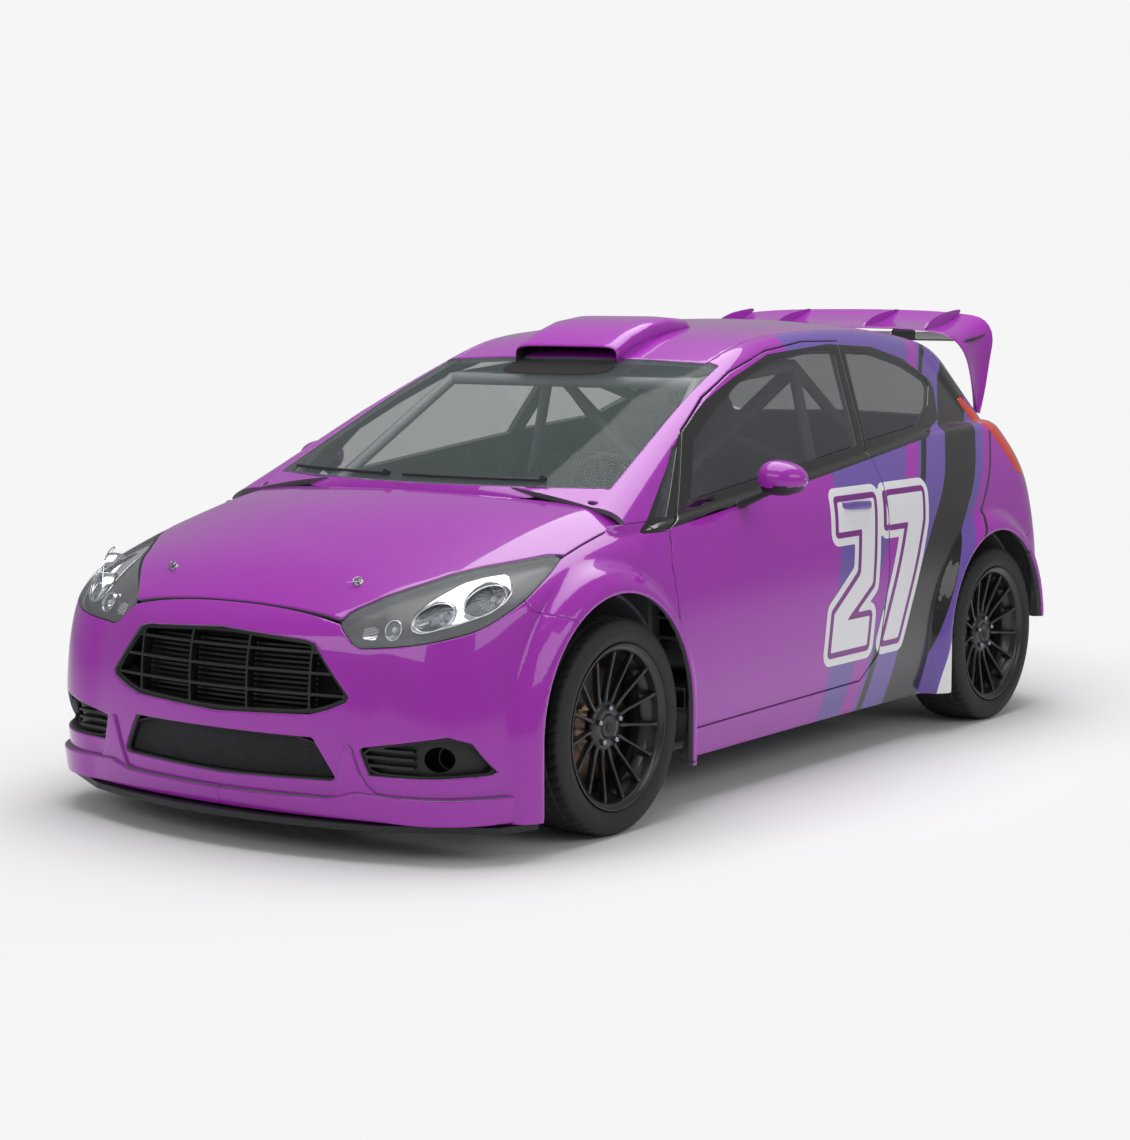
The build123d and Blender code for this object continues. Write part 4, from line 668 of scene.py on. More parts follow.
def paint(name, livery):
    """Two-layer automotive paint: pigment with a faint flake under clear coat, with or without the printed film."""
    made = bpy.data.materials.new(name)
    made.use_nodes = True
    tree = made.node_tree
    shader = tree.nodes["Principled BSDF"]
    place = node(tree, "ShaderNodeTexCoord")
    orange_peel = node(tree, "ShaderNodeTexNoise", [("Vector", place.outputs["Object"])], Scale=90.0, Detail=2.0)
    flake = node(tree, "ShaderNodeTexNoise", [("Vector", place.outputs["Object"])], Scale=900.0, Detail=1.0)
    rough = node(tree, "ShaderNodeMapRange", [("Value", flake.outputs["Fac"])], To_Min=0.26, To_Max=0.36)
    relief = node(tree, "ShaderNodeBump", [("Height", orange_peel.outputs["Fac"])], Strength=0.04,
                  Distance=0.02 * MM)
    colour = node(tree, "ShaderNodeMix", [("Factor", flake.outputs["Fac"])], data_type="RGBA")
    base = np.array(linear(MAGENTA))
    colour.inputs[6].default_value = (*(base[:3] * 0.94), 1)
    colour.inputs[7].default_value = (*np.clip(base[:3] * 1.06, 0, 1), 1)
    out = colour.outputs[2]
    if livery:
        parts = node(tree, "ShaderNodeSeparateXYZ", [("Vector", place.outputs["Object"])])
        y, z = parts.outputs["Y"], parts.outputs["Z"]
        square = node(tree, "ShaderNodeMath", [(0, z), (1, z)], operation="MULTIPLY")
        curve = node(tree, "ShaderNodeMath", [(0, square.outputs[0])], operation="MULTIPLY_ADD")
        curve.inputs[1].default_value = SWEEP[2]
        lean = node(tree, "ShaderNodeMath", [(0, z)], operation="MULTIPLY_ADD")
        lean.inputs[1].default_value, lean.inputs[2].default_value = SWEEP[1], SWEEP[0]
        tree.links.new(lean.outputs[0], curve.inputs[2])
        along = node(tree, "ShaderNodeMath", [(0, y), (1, curve.outputs[0])], operation="SUBTRACT")
        spread = node(tree, "ShaderNodeMapRange", [("Value", along.outputs[0])], From_Min=-BAND_SPAN,
                      From_Max=BAND_SPAN)
        ramp = node(tree, "ShaderNodeValToRGB", [("Fac", spread.outputs["Result"])])
        ramp.color_ramp.interpolation = "CONSTANT"
        for k, (start, band) in enumerate(BANDS):
            stop = max((start + BAND_SPAN) / (2 * BAND_SPAN), 0)
            if k < 2:
                point = ramp.color_ramp.elements[k]
                point.position = stop
            else:
                point = ramp.color_ramp.elements.new(stop)
            point.color = linear(band)
        past = node(tree, "ShaderNodeMath", [(0, along.outputs[0])], operation="GREATER_THAN")
        past.inputs[1].default_value = WEDGE[0]
        low = node(tree, "ShaderNodeMath", [(0, z)], operation="LESS_THAN")
        low.inputs[1].default_value = WEDGE[1]
        wedge = node(tree, "ShaderNodeMath", [(0, past.outputs[0]), (1, low.outputs[0])], operation="MULTIPLY")
        bands = node(tree, "ShaderNodeMix", [("Factor", wedge.outputs[0])], data_type="RGBA")
        tree.links.new(ramp.outputs["Color"], bands.inputs[6])
        bands.inputs[7].default_value = linear(WHITE)
        start = node(tree, "ShaderNodeMath", [(0, z)], operation="MULTIPLY_ADD")
        start.inputs[1].default_value, start.inputs[2].default_value = FILM_START[1], FILM_START[0]
        film = node(tree, "ShaderNodeMath", [(0, y), (1, start.outputs[0])], operation="GREATER_THAN")
        mixed = node(tree, "ShaderNodeMix", [("Factor", film.outputs[0])], data_type="RGBA")
        tree.links.new(out, mixed.inputs[6])
        tree.links.new(bands.outputs[2], mixed.inputs[7])
        out = mixed.outputs[2]
    tree.links.new(out, shader.inputs["Base Color"])
    tree.links.new(rough.outputs["Result"], shader.inputs["Roughness"])
    tree.links.new(relief.outputs["Normal"], shader.inputs["Coat Normal"])
    shader.inputs["Specular IOR Level"].default_value = 0.15    # pigment and clear coat bend light almost alike
    shader.inputs["Coat Weight"].default_value = 1.0
    shader.inputs["Coat Roughness"].default_value = 0.03
    shader.inputs["Coat IOR"].default_value = 1.5
    return made


plain_paint = paint("Steel panel, purple solid paint under clear coat", False)
film_paint = paint("Steel panel, purple paint with printed film bands", True)

# %% [markdown]
# ## Body panels
# Each panel replaces the CAD node of the same name. The left-hand ones make their right-hand twins.
# %% Painted panels
SIDE_TRIM = mm([(-960, 866), (-882, 866), (500, 1010), (985, 1062), (1180, 1118), (1272, 1225), (1262, 1262),
                (1110, 1338), (880, 1386), (560, 1402), (141, 1376), (-121, 1306), (-330, 1240), (-545, 1148)])
window_zone = side_of(SIDE_TRIM)
skin_out = [plain_paint, floor_steel, gloss_black]
film_out = [film_paint, floor_steel, gloss_black]


def corner_relief(v):
    """Cut of a small box, 28 x 20 x 22 mm, that lets the opening bonnet's rear corner by."""
    low, high = mm([640, -1010, 938]), mm([668, -990, 960])
    return np.minimum(v - low, high - v).min(axis=1)


def left_half(v):
    """Cut that keeps the left-hand half."""
    return -v[:, 0]


def screen_cut(grow, outside):
    """Cut by the windscreen's outline in the front view, for points ahead of the roof."""
    return front_of(SCREEN, grow, outside, where=-0.13)


body_panel("skin_front_bumper", (-1.60, 1.60), (-29, 25),
           [side_of(BUMPER), plan_of(BONNET_PLAN, 4 * MM, True), lamp_of(2 * MM, True), front_of(GRILLE, 0, True),
            front_of(INTAKE, 0, True), front_of(FOG_BAY, 0, True, where=-1.2), outside_arch(FRONT_ARCH), above(0.112)],
           skin_out, "chassis", "front_bumper", forms=("lower",))
body_panel("skin_fender_left", (0.70, 1.75), (-29, 62),
           [side_of(FENDER, -1 * MM), plan_of(BONNET_PLAN, 4 * MM, True), lamp_of(2 * MM, True),
            side_of(DOOR, 4 * MM, True), outside_arch(FRONT_ARCH), side_of(FRONT_QUARTER, 0, True),
            screen_cut(0, True), above(0.112), left_half],
           skin_out, "chassis", "fender_left", twin=True, zone=window_zone, forms=("lower", "cabin"))
body_panel("skin_door_left", (station(-0.87), station(0.67)), (-18, 60),
           [side_of(DOOR), side_of(DOOR_WINDOW, 0, True)],
           film_out, "door_left", "door_left", twin=True, zone=window_zone)
body_panel("skin_side_left", (station(-1.02), MID + 1.10), (-25, 75),
           [side_of(BUMPER, 1 * MM, True), side_of(FENDER, 1 * MM, True), side_of(DOOR, 4 * MM, True),
            side_of(FRONT_QUARTER, 0, True), side_of(REAR_QUARTER, 0, True), side_of(TAIL_LAMP, 1 * MM, True),
            side_of(REAR_BUMPER, 1.5 * MM, True), outside_arch(REAR_ARCH), outside_arch(FRONT_ARCH),
            screen_cut(0, True), front_of(TAILGATE, 4 * MM, True, where=1.337), above(0.152), left_half, corner_relief,
            lambda v: np.where(v[:, 1] > 1.56, 0.385 - v[:, 2], -1.0),
            lambda v: np.where((v[:, 2] > 1.30) & (v[:, 1] < 1.337), 0.521 - v[:, 0], -1.0)],
           film_out, "chassis", "side_left", twin=True, zone=window_zone)
body_panel("skin_bonnet", (-1.90, -0.95), (14, 166),
           [plan_of(BONNET_PLAN), lamp_of(4 * MM, True)], skin_out, "bonnet", "bonnet", thickness=0.014,
           forms=("lower",), flare=False, square=True, cell=CELL * 0.75)
body_panel("skin_roof", (-0.24, 1.337), (50, 130),
           [lambda v: np.abs(v[:, 0]) - 0.519, screen_cut(0, True), ahead(1.331)],
           skin_out, "chassis", "roof_panel", flare=False, square=True)
body_panel("skin_tailgate", (MID, MID + 2 * QUARTER), (8, 84),
           [front_of(TAILGATE), front_of(REAR_WINDOW, 0, True), behind(1.343)],
           skin_out, "tailgate", "tailgate", flare=False)
body_panel("skin_rear_bumper", (station(1.0), 2 * QUARTER + 2 * MID - station(1.0)), (-29, 18),
           [side_of(REAR_BUMPER), front_of(TAILGATE, 4 * MM, True, where=1.337), outside_arch(REAR_ARCH)],
           skin_out, "chassis", "rear_bumper", forms=("lower",))
body_panel("skin_tail_lamps_left", (station(1.20), MID + 1.10), (18, 62),
           [side_of(TAIL_LAMP, -1 * MM), front_of(TAILGATE, 3 * MM, True, where=1.337), left_half,
            side_of(REAR_BUMPER, 1.5 * MM, True)],
           [tail_red, black_plastic, tail_red], "chassis", flare=False, slot="tail_lens", twin=True,
           also=["tail_lamps"])

# %% Glass
body_panel("glass_windscreen", (-1.12, -0.08), (35, 145),
           [front_of(SCREEN, -1 * MM)], [clear_glass, clear_glass, clear_glass], "chassis", "windscreen",
           thickness=0.006, forms=("cabin",), inset=0.003, flare=False, roll=0, slot="window_glass", square=True)
for glass_name, outline, body, node_name in (
        ("glass_door_left", DOOR_WINDOW, "door_left", "door_glass_left"),
        ("glass_quarter_front_left", FRONT_QUARTER, "chassis", None),
        ("glass_quarter_rear_left", REAR_QUARTER, "chassis", None)):
    body_panel(glass_name, (station(-0.9), station(1.35)), (20, 62), [side_of(outline, -1 * MM), left_half],
               [tinted_sheet, tinted_sheet, tinted_sheet], body, node_name, thickness=0.004, forms=("cabin",),
               inset=0.003, flare=False, roll=0, slot="window_glass", twin=True,
               also=["side_windows"] if "rear" in glass_name else ())
body_panel("glass_rear", (MID, MID + 2 * QUARTER), (45, 84), [front_of(REAR_WINDOW, -1 * MM), behind(1.4)],
           [tinted_sheet, tinted_sheet, tinted_sheet], "tailgate", "rear_glass", thickness=0.005,
           forms=("cabin",), inset=0.003, flare=False, roll=0, slot="window_glass")

# %% [markdown]
# ## Shapes by formula
# Turned parts, lofted bars and stamped strips come from three helpers, each a grid of points from two parameters.
# %% Shape helpers


def grid_quads(rows, columns, wrap_rows=False, wrap_columns=False):
    """Quads of a grid of points, joined round where it wraps."""
    i = np.arange(rows if wrap_rows else rows - 1)[:, None]
    j = np.arange(columns if wrap_columns else columns - 1)[None, :]
    a, b = i * columns + j, (i + 1) % rows * columns + j
    c, d = (i + 1) % rows * columns + (j + 1) % columns, i * columns + (j + 1) % columns
    return np.stack([a, b, c, d], -1).reshape(-1, 4)


def turned(profile, centre, axis=(1, 0, 0), turns=96, wave=None):
    """Turned solid: P(a, k) = centre + axis h_k + r_k (cos a e1 + sin a e2), for a closed profile of (h, r)."""
    h, r = np.array(profile, float).T
    axis = np.array(axis, float) / np.linalg.norm(axis)
    first = np.cross(axis, (0, 0, 1) if abs(axis[2]) < 0.9 else (1, 0, 0))
    first = first / np.linalg.norm(first)
    second = np.cross(axis, first)
    a = np.linspace(0, 2 * math.pi, turns, endpoint=False)[:, None]
    radius = np.repeat(r[None], turns, 0)
    if wave:
        radius = radius + wave(a, h[None], r[None])
    points = np.array(centre) + h[None, :, None] * axis + radius[..., None] * (
        np.cos(a)[..., None] * first + np.sin(a)[..., None] * second)
    return points.reshape(-1, 3), grid_quads(turns, len(h), True, True)


def swept(path, widths, heights, side=(0, 0, 1), count=16, power=2.6, ends=True):
    """Bar along a path with a superellipse section: P(k, a) = p_k + w_k c(a) s + h_k s(a) n, closed at its ends."""
    path = np.array(path, float)
    run = np.gradient(path, axis=0)
    run /= np.linalg.norm(run, axis=1, keepdims=True)
    across = np.cross(run, side)
    across /= np.linalg.norm(across, axis=1, keepdims=True)
    upward = np.cross(across, run)
    a = np.linspace(0, 2 * math.pi, count, endpoint=False)
    c, s = (np.sign(f) * np.abs(f) ** (2 / power) for f in (np.cos(a), np.sin(a)))
    w, h = (np.broadcast_to(np.asarray(v, float), len(path)) for v in (widths, heights))
    points = path[:, None] + (w[:, None] * c)[..., None] * across[:, None] + (h[:, None] * s)[..., None] * upward[:, None]
    verts = points.reshape(-1, 3)
    faces = [tuple(f) for f in grid_quads(len(path), count, False, True)[:, ::-1].tolist()]
    if ends:
        faces += [tuple(range(count)), tuple(range(len(verts) - 1, len(verts) - count - 1, -1))]
    return verts, faces


def joined(*pieces):
    """Several (points, faces) as one, with the faces' slots if a piece has a third entry."""
    verts, faces, slots, start = [], [], [], 0
    for piece in pieces:
        points, polygons = piece[0], piece[1]
        verts.append(np.asarray(points))
        faces += [tuple(int(k) + start for k in f) for f in polygons]
        slots += [piece[2] if len(piece) > 2 else 0] * len(polygons)
        start += len(points)
    return np.concatenate(verts), faces, slots


def curve_points(points, count=24):
    """Smooth path through points by a natural spline over chord length."""
    points = np.array(points, float)
    along = np.concatenate([[0], np.cumsum(np.linalg.norm(np.diff(points, axis=0), axis=1))])
    return natural_spline(along, points, np.linspace(0, along[-1], count))


def moved(piece, move=(0, 0, 0), flip=False):
    """A piece moved, or mirrored to the right-hand side first."""
    points, faces = piece[0], piece[1]
    if flip:
        points, faces = points * [-1, 1, 1], [tuple(f)[::-1] for f in faces]
    return (points + np.array(move), faces, *piece[2:])


def bevelled(made, width, segments=3):
    """Round the object's edges a little."""
    edge = made.modifiers.new("edge", "BEVEL")
    edge.width, edge.segments, edge.limit_method = width, segments, "ANGLE"
    edge.angle_limit = math.radians(35)
    edge.harden_normals = True
    return made


def slab(outline, low, high, axis=0):
    """Straight slab of a closed outline between two values along an axis: x for (y, z), y for (x, z)."""
    outline = np.array(outline, float)
    turned_sign = np.sum(outline[:, 0] * np.roll(outline[:, 1], -1) - np.roll(outline[:, 0], -1) * outline[:, 1])
    if (turned_sign < 0) != (axis == 1):
        outline = outline[::-1]
    count = len(outline)
    caps = [np.insert(outline, axis, level, axis=1) for level in (low, high)]
    sides = [(k, (k + 1) % count, count + (k + 1) % count, count + k) for k in range(count)]
    return np.concatenate(caps), [tuple(range(count))[::-1], tuple(range(count, 2 * count))] + sides

# %% [markdown]
# ## Wheels and tyres
# A cast wheel is a turned barrel with fifteen slim spokes; five conical nuts hold it. The tyre is a turned
# carcass whose radius dips at the grooves.
# %% Wheels
WHEEL_X, WHEEL_Z = 0.780, 0.322
AXLES = {"front": -1.190, "rear": 1.299}
RIM = [(105, 246), (99, 246), (97, 232), (70, 229), (55, 205), (-60, 205), (-75, 229), (-97, 232), (-99, 246),
       (-105, 246), (-105, 239), (-101, 225), (-78, 222), (-62, 198), (52, 198), (66, 222), (95, 225), (100, 239),
       (105, 241)]
SPOKES = 15


def wheel_shapes():
    """Rim, spokes and nuts for the wheel at the origin, with its outer face towards +x."""
    shapes = [turned(smooth_loop(mm(RIM), 1), (0, 0, 0), turns=144)]
    hub = mm([(34, 35.3), (62, 35.3), (63, 40), (60, 66), (54, 74), (44, 78), (34, 76)])
    shapes.append(turned(hub, (0, 0, 0), turns=60))
    shapes.append(turned(mm([(60, 1), (66, 30), (64, 35), (52, 35.2), (50, 1)]), (0, 0, 0), turns=48) + (2,))
    for k in range(SPOKES):
        a = 2 * math.pi * k / SPOKES
        out = np.array([0, math.sin(a), math.cos(a)])
        r = np.linspace(66, 228, 12) * MM
        bow = np.interp(r, mm([66, 110, 170, 228]), mm([47, 52, 66, 80]))
        path = r[:, None] * out + bow[:, None] * np.array([1, 0, 0])
        width = np.interp(r, mm([66, 120, 200, 228]), mm([8.6, 5.6, 5.0, 8.5]))
        shapes.append(swept(path, width, np.full(12, 11 * MM), side=(1, 0, 0), count=12, power=3.2))
    for k in range(5):
        a = 2 * math.pi * k / 5 + math.pi / 2
        centre = np.array([0, math.cos(a), math.sin(a)]) * 54 * MM
        nut = turned(mm([(54, 1), (54, 9.5), (72, 9.0), (75, 7.5), (75, 5), (68, 4.4), (68, 1)]), centre, turns=6)
        shapes.append(nut + (1,))
    return shapes


def disc_shapes():
    """Brake disc with its hat, grooved and vented."""
    disc = mm([(33, 36), (33, 74), (10, 82), (6, 95), (6, 169), (4, 170), (-8, 170), (-8, 167), (-12, 167),
               (-12, 170), (-20, 170), (-22, 168), (-22, 88), (-4, 74), (22, 66), (22, 36)])
    return [turned(disc, (0, 0, 0), turns=96)]


GROOVES = mm([-62, -22, 22, 62])


def tread(a, h, r):
    """Depth of the tread pattern: four grooves round the tyre and slanted cuts across its shoulders."""
    on_tread = np.clip((r - 0.314) / 0.004, 0, 1)
    ring = sum(np.exp(-((h - g) / 0.0045) ** 4) for g in GROOVES)
    cuts = np.clip(np.cos(a * 60 + h * 60) * 3 - 2.0, 0, 1) * (np.abs(h) > 0.030) * (np.abs(h) < 0.100)
    return -0.0055 * on_tread * np.clip(ring + cuts, 0, 1)


def tyre_shape():
    """Carcass, beads and sidewall ribs of the tyre."""
    outer = [(96.6, 232.4), (97, 247), (103, 251), (108.5, 257), (111.2, 266), (112.4, 276), (111.8, 284),
             (111, 286), (111.2, 288), (109.6, 296), (107, 303), (103, 310), (98, 315.5), (92, 318.5)]
    crown = [(h, 322 - 2.6 * (h / 96) ** 2) for h in np.linspace(86, -86, 44)]
    half_back = [(-h, r) for h, r in reversed(outer)]
    inner = [(-80, 232.4), (-92, 252), (-98, 275), (-90, 302), (0, 309), (90, 302), (98, 275), (92, 252), (80, 232.4)]
    return turned(mm(outer + crown + half_back + inner), (0, 0, 0), turns=300, wave=tread)


rim_set, disc_set, tyre_set = wheel_shapes(), disc_shapes(), tyre_shape()
for end, axle_y in AXLES.items():
    for side_name, flip in (("left", False), ("right", True)):
        hub_at = (-WHEEL_X if flip else WHEEL_X, axle_y, WHEEL_Z)
        body = f"wheel_{end}_{side_name}"
        verts, faces, slots = joined(*[moved(s, hub_at, flip) for s in rim_set])
        rim = add_object(f"alloy_{end}_{side_name}", verts, faces, [wheel_black, zinc, forged], body,
                         [f"rim_{end}_{side_name}"], slots)
        verts, faces, slots = joined(*[moved(s, hub_at, flip) for s in disc_set])
        add_object(f"disc_{end}_{side_name}", verts, faces, [disc_iron], body)
        verts, faces, slots = joined(moved(tyre_set, hub_at, flip))
        add_object(f"rubber_{end}_{side_name}", verts, faces, [rubber], body, [f"tyre_{end}_{side_name}"])
print("wheels made")

# %% [markdown]
# ## Grilles, mesh and fog bays
# Moulded grilles sit a little behind the bumper's skin. Their bars are strips of an inset skin, so they follow
# the nose's curve. The lower intake is closed by woven wire.
# %% Grille finishes


def woven_wire(name, pitch_mm, wire_share):
    """Black woven wire: two slanting families of wires over x and z, see-through between them. Each wire is lighter
    along its crest: a painted highlight.
    """
    made = bpy.data.materials.new(name)
    made.use_nodes = True
    tree = made.node_tree
    shader = tree.nodes["Principled BSDF"]
    shader.inputs["Roughness"].default_value = 0.45
    place = node(tree, "ShaderNodeTexCoord")
    parts = node(tree, "ShaderNodeSeparateXYZ", [("Vector", place.outputs["Object"])])
    waves = []
    for sign in ("ADD", "SUBTRACT"):
        slant = node(tree, "ShaderNodeMath", [(0, parts.outputs["X"]), (1, parts.outputs["Z"])], operation=sign)
        scaled = node(tree, "ShaderNodeMath", [(0, slant.outputs[0])], operation="MULTIPLY")
        scaled.inputs[1].default_value = 1 / (pitch_mm * MM)
        waves.append(node(tree, "ShaderNodeMath", [(0, scaled.outputs[0])], operation="PINGPONG"))
        waves[-1].inputs[1].default_value = 0.5
    nearest = node(tree, "ShaderNodeMath", [(0, waves[0].outputs[0]), (1, waves[1].outputs[0])],
                   operation="MINIMUM")
    wire = node(tree, "ShaderNodeMath", [(0, nearest.outputs[0])], operation="LESS_THAN")
    wire.inputs[1].default_value = wire_share / 2
    # Each wire is lighter along its crest and darker at its edges (painted highlight); the same value also rounds the
    # wire by bump.
    crest_and_sheen = node(tree, "ShaderNodeMapRange", [("Value", nearest.outputs[0])], From_Max=wire_share / 2,
                 To_Min=1.0, To_Max=0.0)
    bump = node(tree, "ShaderNodeBump", [("Height", crest_and_sheen.outputs["Result"])], Distance=1.2 * MM)
    tint = node(tree, "ShaderNodeMix", [("Factor", crest_and_sheen.outputs["Result"])], data_type="RGBA")
    tint.inputs[6].default_value, tint.inputs[7].default_value = linear("0e0e10"), linear("3a3a3e")
    tree.links.new(tint.outputs[2], shader.inputs["Base Color"])
    tree.links.new(wire.outputs[0], shader.inputs["Alpha"])
    tree.links.new(bump.outputs["Normal"], shader.inputs["Normal"])
    return made


wire_mesh = woven_wire("Steel wire, woven, powder coated black", 9.0, 0.42)
# Near-black matt sheet that stands for the shade deep inside openings: painted shade.
painted_void_shade = material("Painted shade of openings, matt near-black", "08080a", 0.9, 0.2, grain_mm=3)
lamp_bezel = material("Polycarbonate bezel, moulded black, satin", "1a1b1d", 0.3, 0.1, grain_mm=1.0)
black_set = [black_plastic, black_plastic, black_plastic]


def ring_of(outline, width):
    """Cut that keeps a border of a width just inside an outline seen from the front."""
    def cut(v):
        value = outline_distance(v[:, 0], v[:, 2], outline)
        return np.maximum(value, -value - width)
    return cut


def bars(values, width, axis):
    """Cut that keeps straight strips of a width centred at values along x (0) or z (2)."""
    return lambda v: np.min([np.abs(v[:, axis] - at) for at in values], axis=0) - width / 2


def either(*cuts):
    """Cut that keeps what any of several cuts keeps."""
    return lambda v: np.min([cut(v) for cut in cuts], axis=0)


# %% Upper grille
NOSE_U = (-0.62, 0.62)
GRILLE_SOFT = smooth_loop(GRILLE)
grille_bars = either(ring_of(GRILLE_SOFT, 13 * MM), bars(mm([-325, -110, 110, 325]), 7 * MM, 0),
                     bars(mm([582, 524, 464]), 8 * MM, 2))
body_panel("grille_upper", NOSE_U, (-8, 20), [front_of(GRILLE_SOFT, 1 * MM), grille_bars], black_set, "chassis", "grilles",
           thickness=0.030, forms=("lower",), inset=0.012, flare=False, roll=1.2 * MM, slot="black_plastic",
           cell=0.0045)
body_panel("grille_slats", NOSE_U, (-8, 20),
           [front_of(GRILLE_SOFT, 0), bars(np.arange(0.400, 0.63, 0.0145), 6 * MM, 2),
            lambda v: np.abs(v[:, 0]) - 0.325],
           black_set, "chassis", thickness=0.006, forms=("lower",), inset=0.055, flare=False, roll=0,
           slot="black_plastic", cell=0.0045)
# A near-black sheet behind the grille stands for the shaded depth behind it: painted shade.
body_panel("grille_back", NOSE_U, (-30, 20), [lambda v: np.abs(v[:, 0]) - 0.47, above(0.19)],
           [painted_void_shade] * 3, "chassis", thickness=0.003, forms=("lower",), inset=0.085, flare=False, roll=0,
           slot="black_plastic", cell=0.02)
INTAKE_SOFT = smooth_loop(INTAKE)
# The wire's back face is the near-black sheet, seen through the mesh as the shade inside the intake: painted shade.
body_panel("intake_mesh", NOSE_U, (-30, -4), [front_of(INTAKE_SOFT, 3 * MM)], [wire_mesh, painted_void_shade, wire_mesh],
           "chassis", thickness=0.0015, forms=("lower",), inset=0.030, flare=False, roll=0, slot="black_plastic")
body_panel("intake_rim", NOSE_U, (-30, -4), [ring_of(smooth_loop(INTAKE), 6 * MM)], black_set, "chassis",
           thickness=0.020, forms=("lower",), inset=0.016, flare=False, roll=1 * MM, slot="black_plastic",
           cell=0.0045)

# %% Fog bays
DUCT_X, DUCT_Z, DUCT_R = 0.700, 0.300, 0.036


def duct_distance(v):
    """Signed distance outside the round duct in the front view."""
    return np.hypot(np.abs(v[:, 0]) - DUCT_X, v[:, 2] - DUCT_Z) - DUCT_R


FOG_SOFT = smooth_loop(FOG_BAY)
FOG_U, FOG_TILT = (0.35, 1.45), (-24, -6)
FOG_BACK = -1.5     # the fog bay ends ahead of the wheel arch
body_panel("fog_tray_left", FOG_U, FOG_TILT,
           [front_of(FOG_SOFT, 5 * MM, where=FOG_BACK), lambda v: -duct_distance(v), left_half],
           black_set, "chassis", thickness=0.004, forms=("lower",), inset=0.034, flare=False, roll=0,
           slot="black_plastic", twin=True)
body_panel("fog_louvres_left", FOG_U, FOG_TILT,
           [front_of(FOG_SOFT, 0, where=FOG_BACK), either(ring_of(FOG_SOFT, 7 * MM), bars(mm([252, 276, 300, 322]), 9 * MM, 2)),
            lambda v: 0.006 - duct_distance(v), lambda v: np.minimum(v[:, 0] - (DUCT_X - 0.05), ring_of(FOG_SOFT, 7 * MM)(v)),
            left_half],
           black_set, "chassis", thickness=0.024, forms=("lower",), inset=0.010, flare=False, roll=1.2 * MM,
           slot="black_plastic", cell=0.0045, twin=True)

# %% [markdown]
# ## Headlamps
# Behind the clear lens a grey bezel carries two bright bowls in one shell, a small side lamp and a ribbed
# reflector. The bowls are blown from the lens outline inward: each ring shrinks as it goes deeper.
# %% Headlamps
LAMP_OUT = np.array([math.sin(LAMP_TURN), -math.cos(LAMP_TURN)])      # outward, across the lamp's plane
LAMP_ALONG = np.array([math.cos(LAMP_TURN), math.sin(LAMP_TURN)])
LAMP_U, LAMP_TILT = (0.36, 1.14), (5, 27)


def lamp_points(u, z, inset):
    """Points of the nose's skin in front of places (u, z) of the lamp's plane, found by halving, less an inset."""
    near, away = np.full(u.shape, -0.25), np.full(u.shape, 0.25)
    for _ in range(24):
        s = (near + away) / 2
        x = LAMP_ORIGIN[0] + u * LAMP_ALONG[0] + s * LAMP_OUT[0]
        y = LAMP_ORIGIN[1] + u * LAMP_ALONG[1] + s * LAMP_OUT[1]
        inside = half_width(y, z, "lower") > x
        near, away = np.where(inside, s, near), np.where(inside, away, s)
    s = s - inset
    return np.stack([LAMP_ORIGIN[0] + u * LAMP_ALONG[0] + s * LAMP_OUT[0],
                     LAMP_ORIGIN[1] + u * LAMP_ALONG[1] + s * LAMP_OUT[1], z], -1)


def lamp_ring(centre, half, inset, turns=64, lean=0.30):
    """Oval ring of lamp points round a centre (u, z), leaning with the lamp's own slope."""
    a = np.linspace(0, 2 * math.pi, turns, endpoint=False)
    u = centre[0] + half[0] * np.cos(a)
    z = centre[1] + half[1] * np.sin(a) + lean * half[0] * np.cos(a)
    return lamp_points(u, z, inset)


def bowl(centre, half, inset, depth, flutes=0):
    """Bright bowl: P(a, k) = c + cos(k) (rim(a) - c) + depth sin(k) d, with upright flutes if asked."""
    rim = lamp_ring(centre, half, inset)
    middle = rim.mean(0)
    inward = np.array([-LAMP_OUT[0] * 0.3, 1.0, 0.0])
    inward /= np.linalg.norm(inward)
    k = np.linspace(0, math.pi / 2 * 0.93, 16)
    scale, deep = np.cos(k), np.sin(k) * depth
    shell = middle + scale[None, :, None] * (rim - middle)[:, None] + deep[None, :, None] * inward
    if flutes:
        wave = 0.0025 * np.cos(flutes * np.linspace(0, 2 * math.pi, len(rim), endpoint=False))[:, None]
        shell = shell + (wave * np.sin(2 * k)[None])[..., None] * inward
    outer = shell[:, ::-1] + 0.002 * inward + (rim - middle)[:, None] * 0.03
    points = np.concatenate([shell, outer], 1)
    return points.reshape(-1, 3), grid_quads(len(rim), 32, True, True)[:, ::-1], middle, inward


def hoop(loop, radius, count=8):
    """Round bead of a radius along a closed loop of points."""
    run = np.roll(loop, -1, axis=0) - np.roll(loop, 1, axis=0)
    run /= np.linalg.norm(run, axis=1, keepdims=True)
    out = loop - loop.mean(0)
    out -= (out * run).sum(1, keepdims=True) * run
    out /= np.linalg.norm(out, axis=1, keepdims=True)
    side = np.cross(run, out)
    b = np.linspace(0, 2 * math.pi, count, endpoint=False)[None, :, None]
    points = loop[:, None] + radius * (np.cos(b) * out[:, None] + np.sin(b) * side[:, None])
    return points.reshape(-1, 3), grid_quads(len(loop), count, True, True)


MAIN_LAMP, MAIN_HALF = (0.405, 0.731), (0.060, 0.037)
HIGH_LAMP, HIGH_HALF = (0.262, 0.689), (0.056, 0.034)
SIDE_LAMP, SIDE_HALF = (0.150, 0.652), (0.022, 0.026)
GROUP = mm([(198, 655), (205, 690), (262, 730), (345, 768), (420, 784), (482, 790), (484, 752), (462, 725),
            (420, 700), (330, 672), (225, 645)])


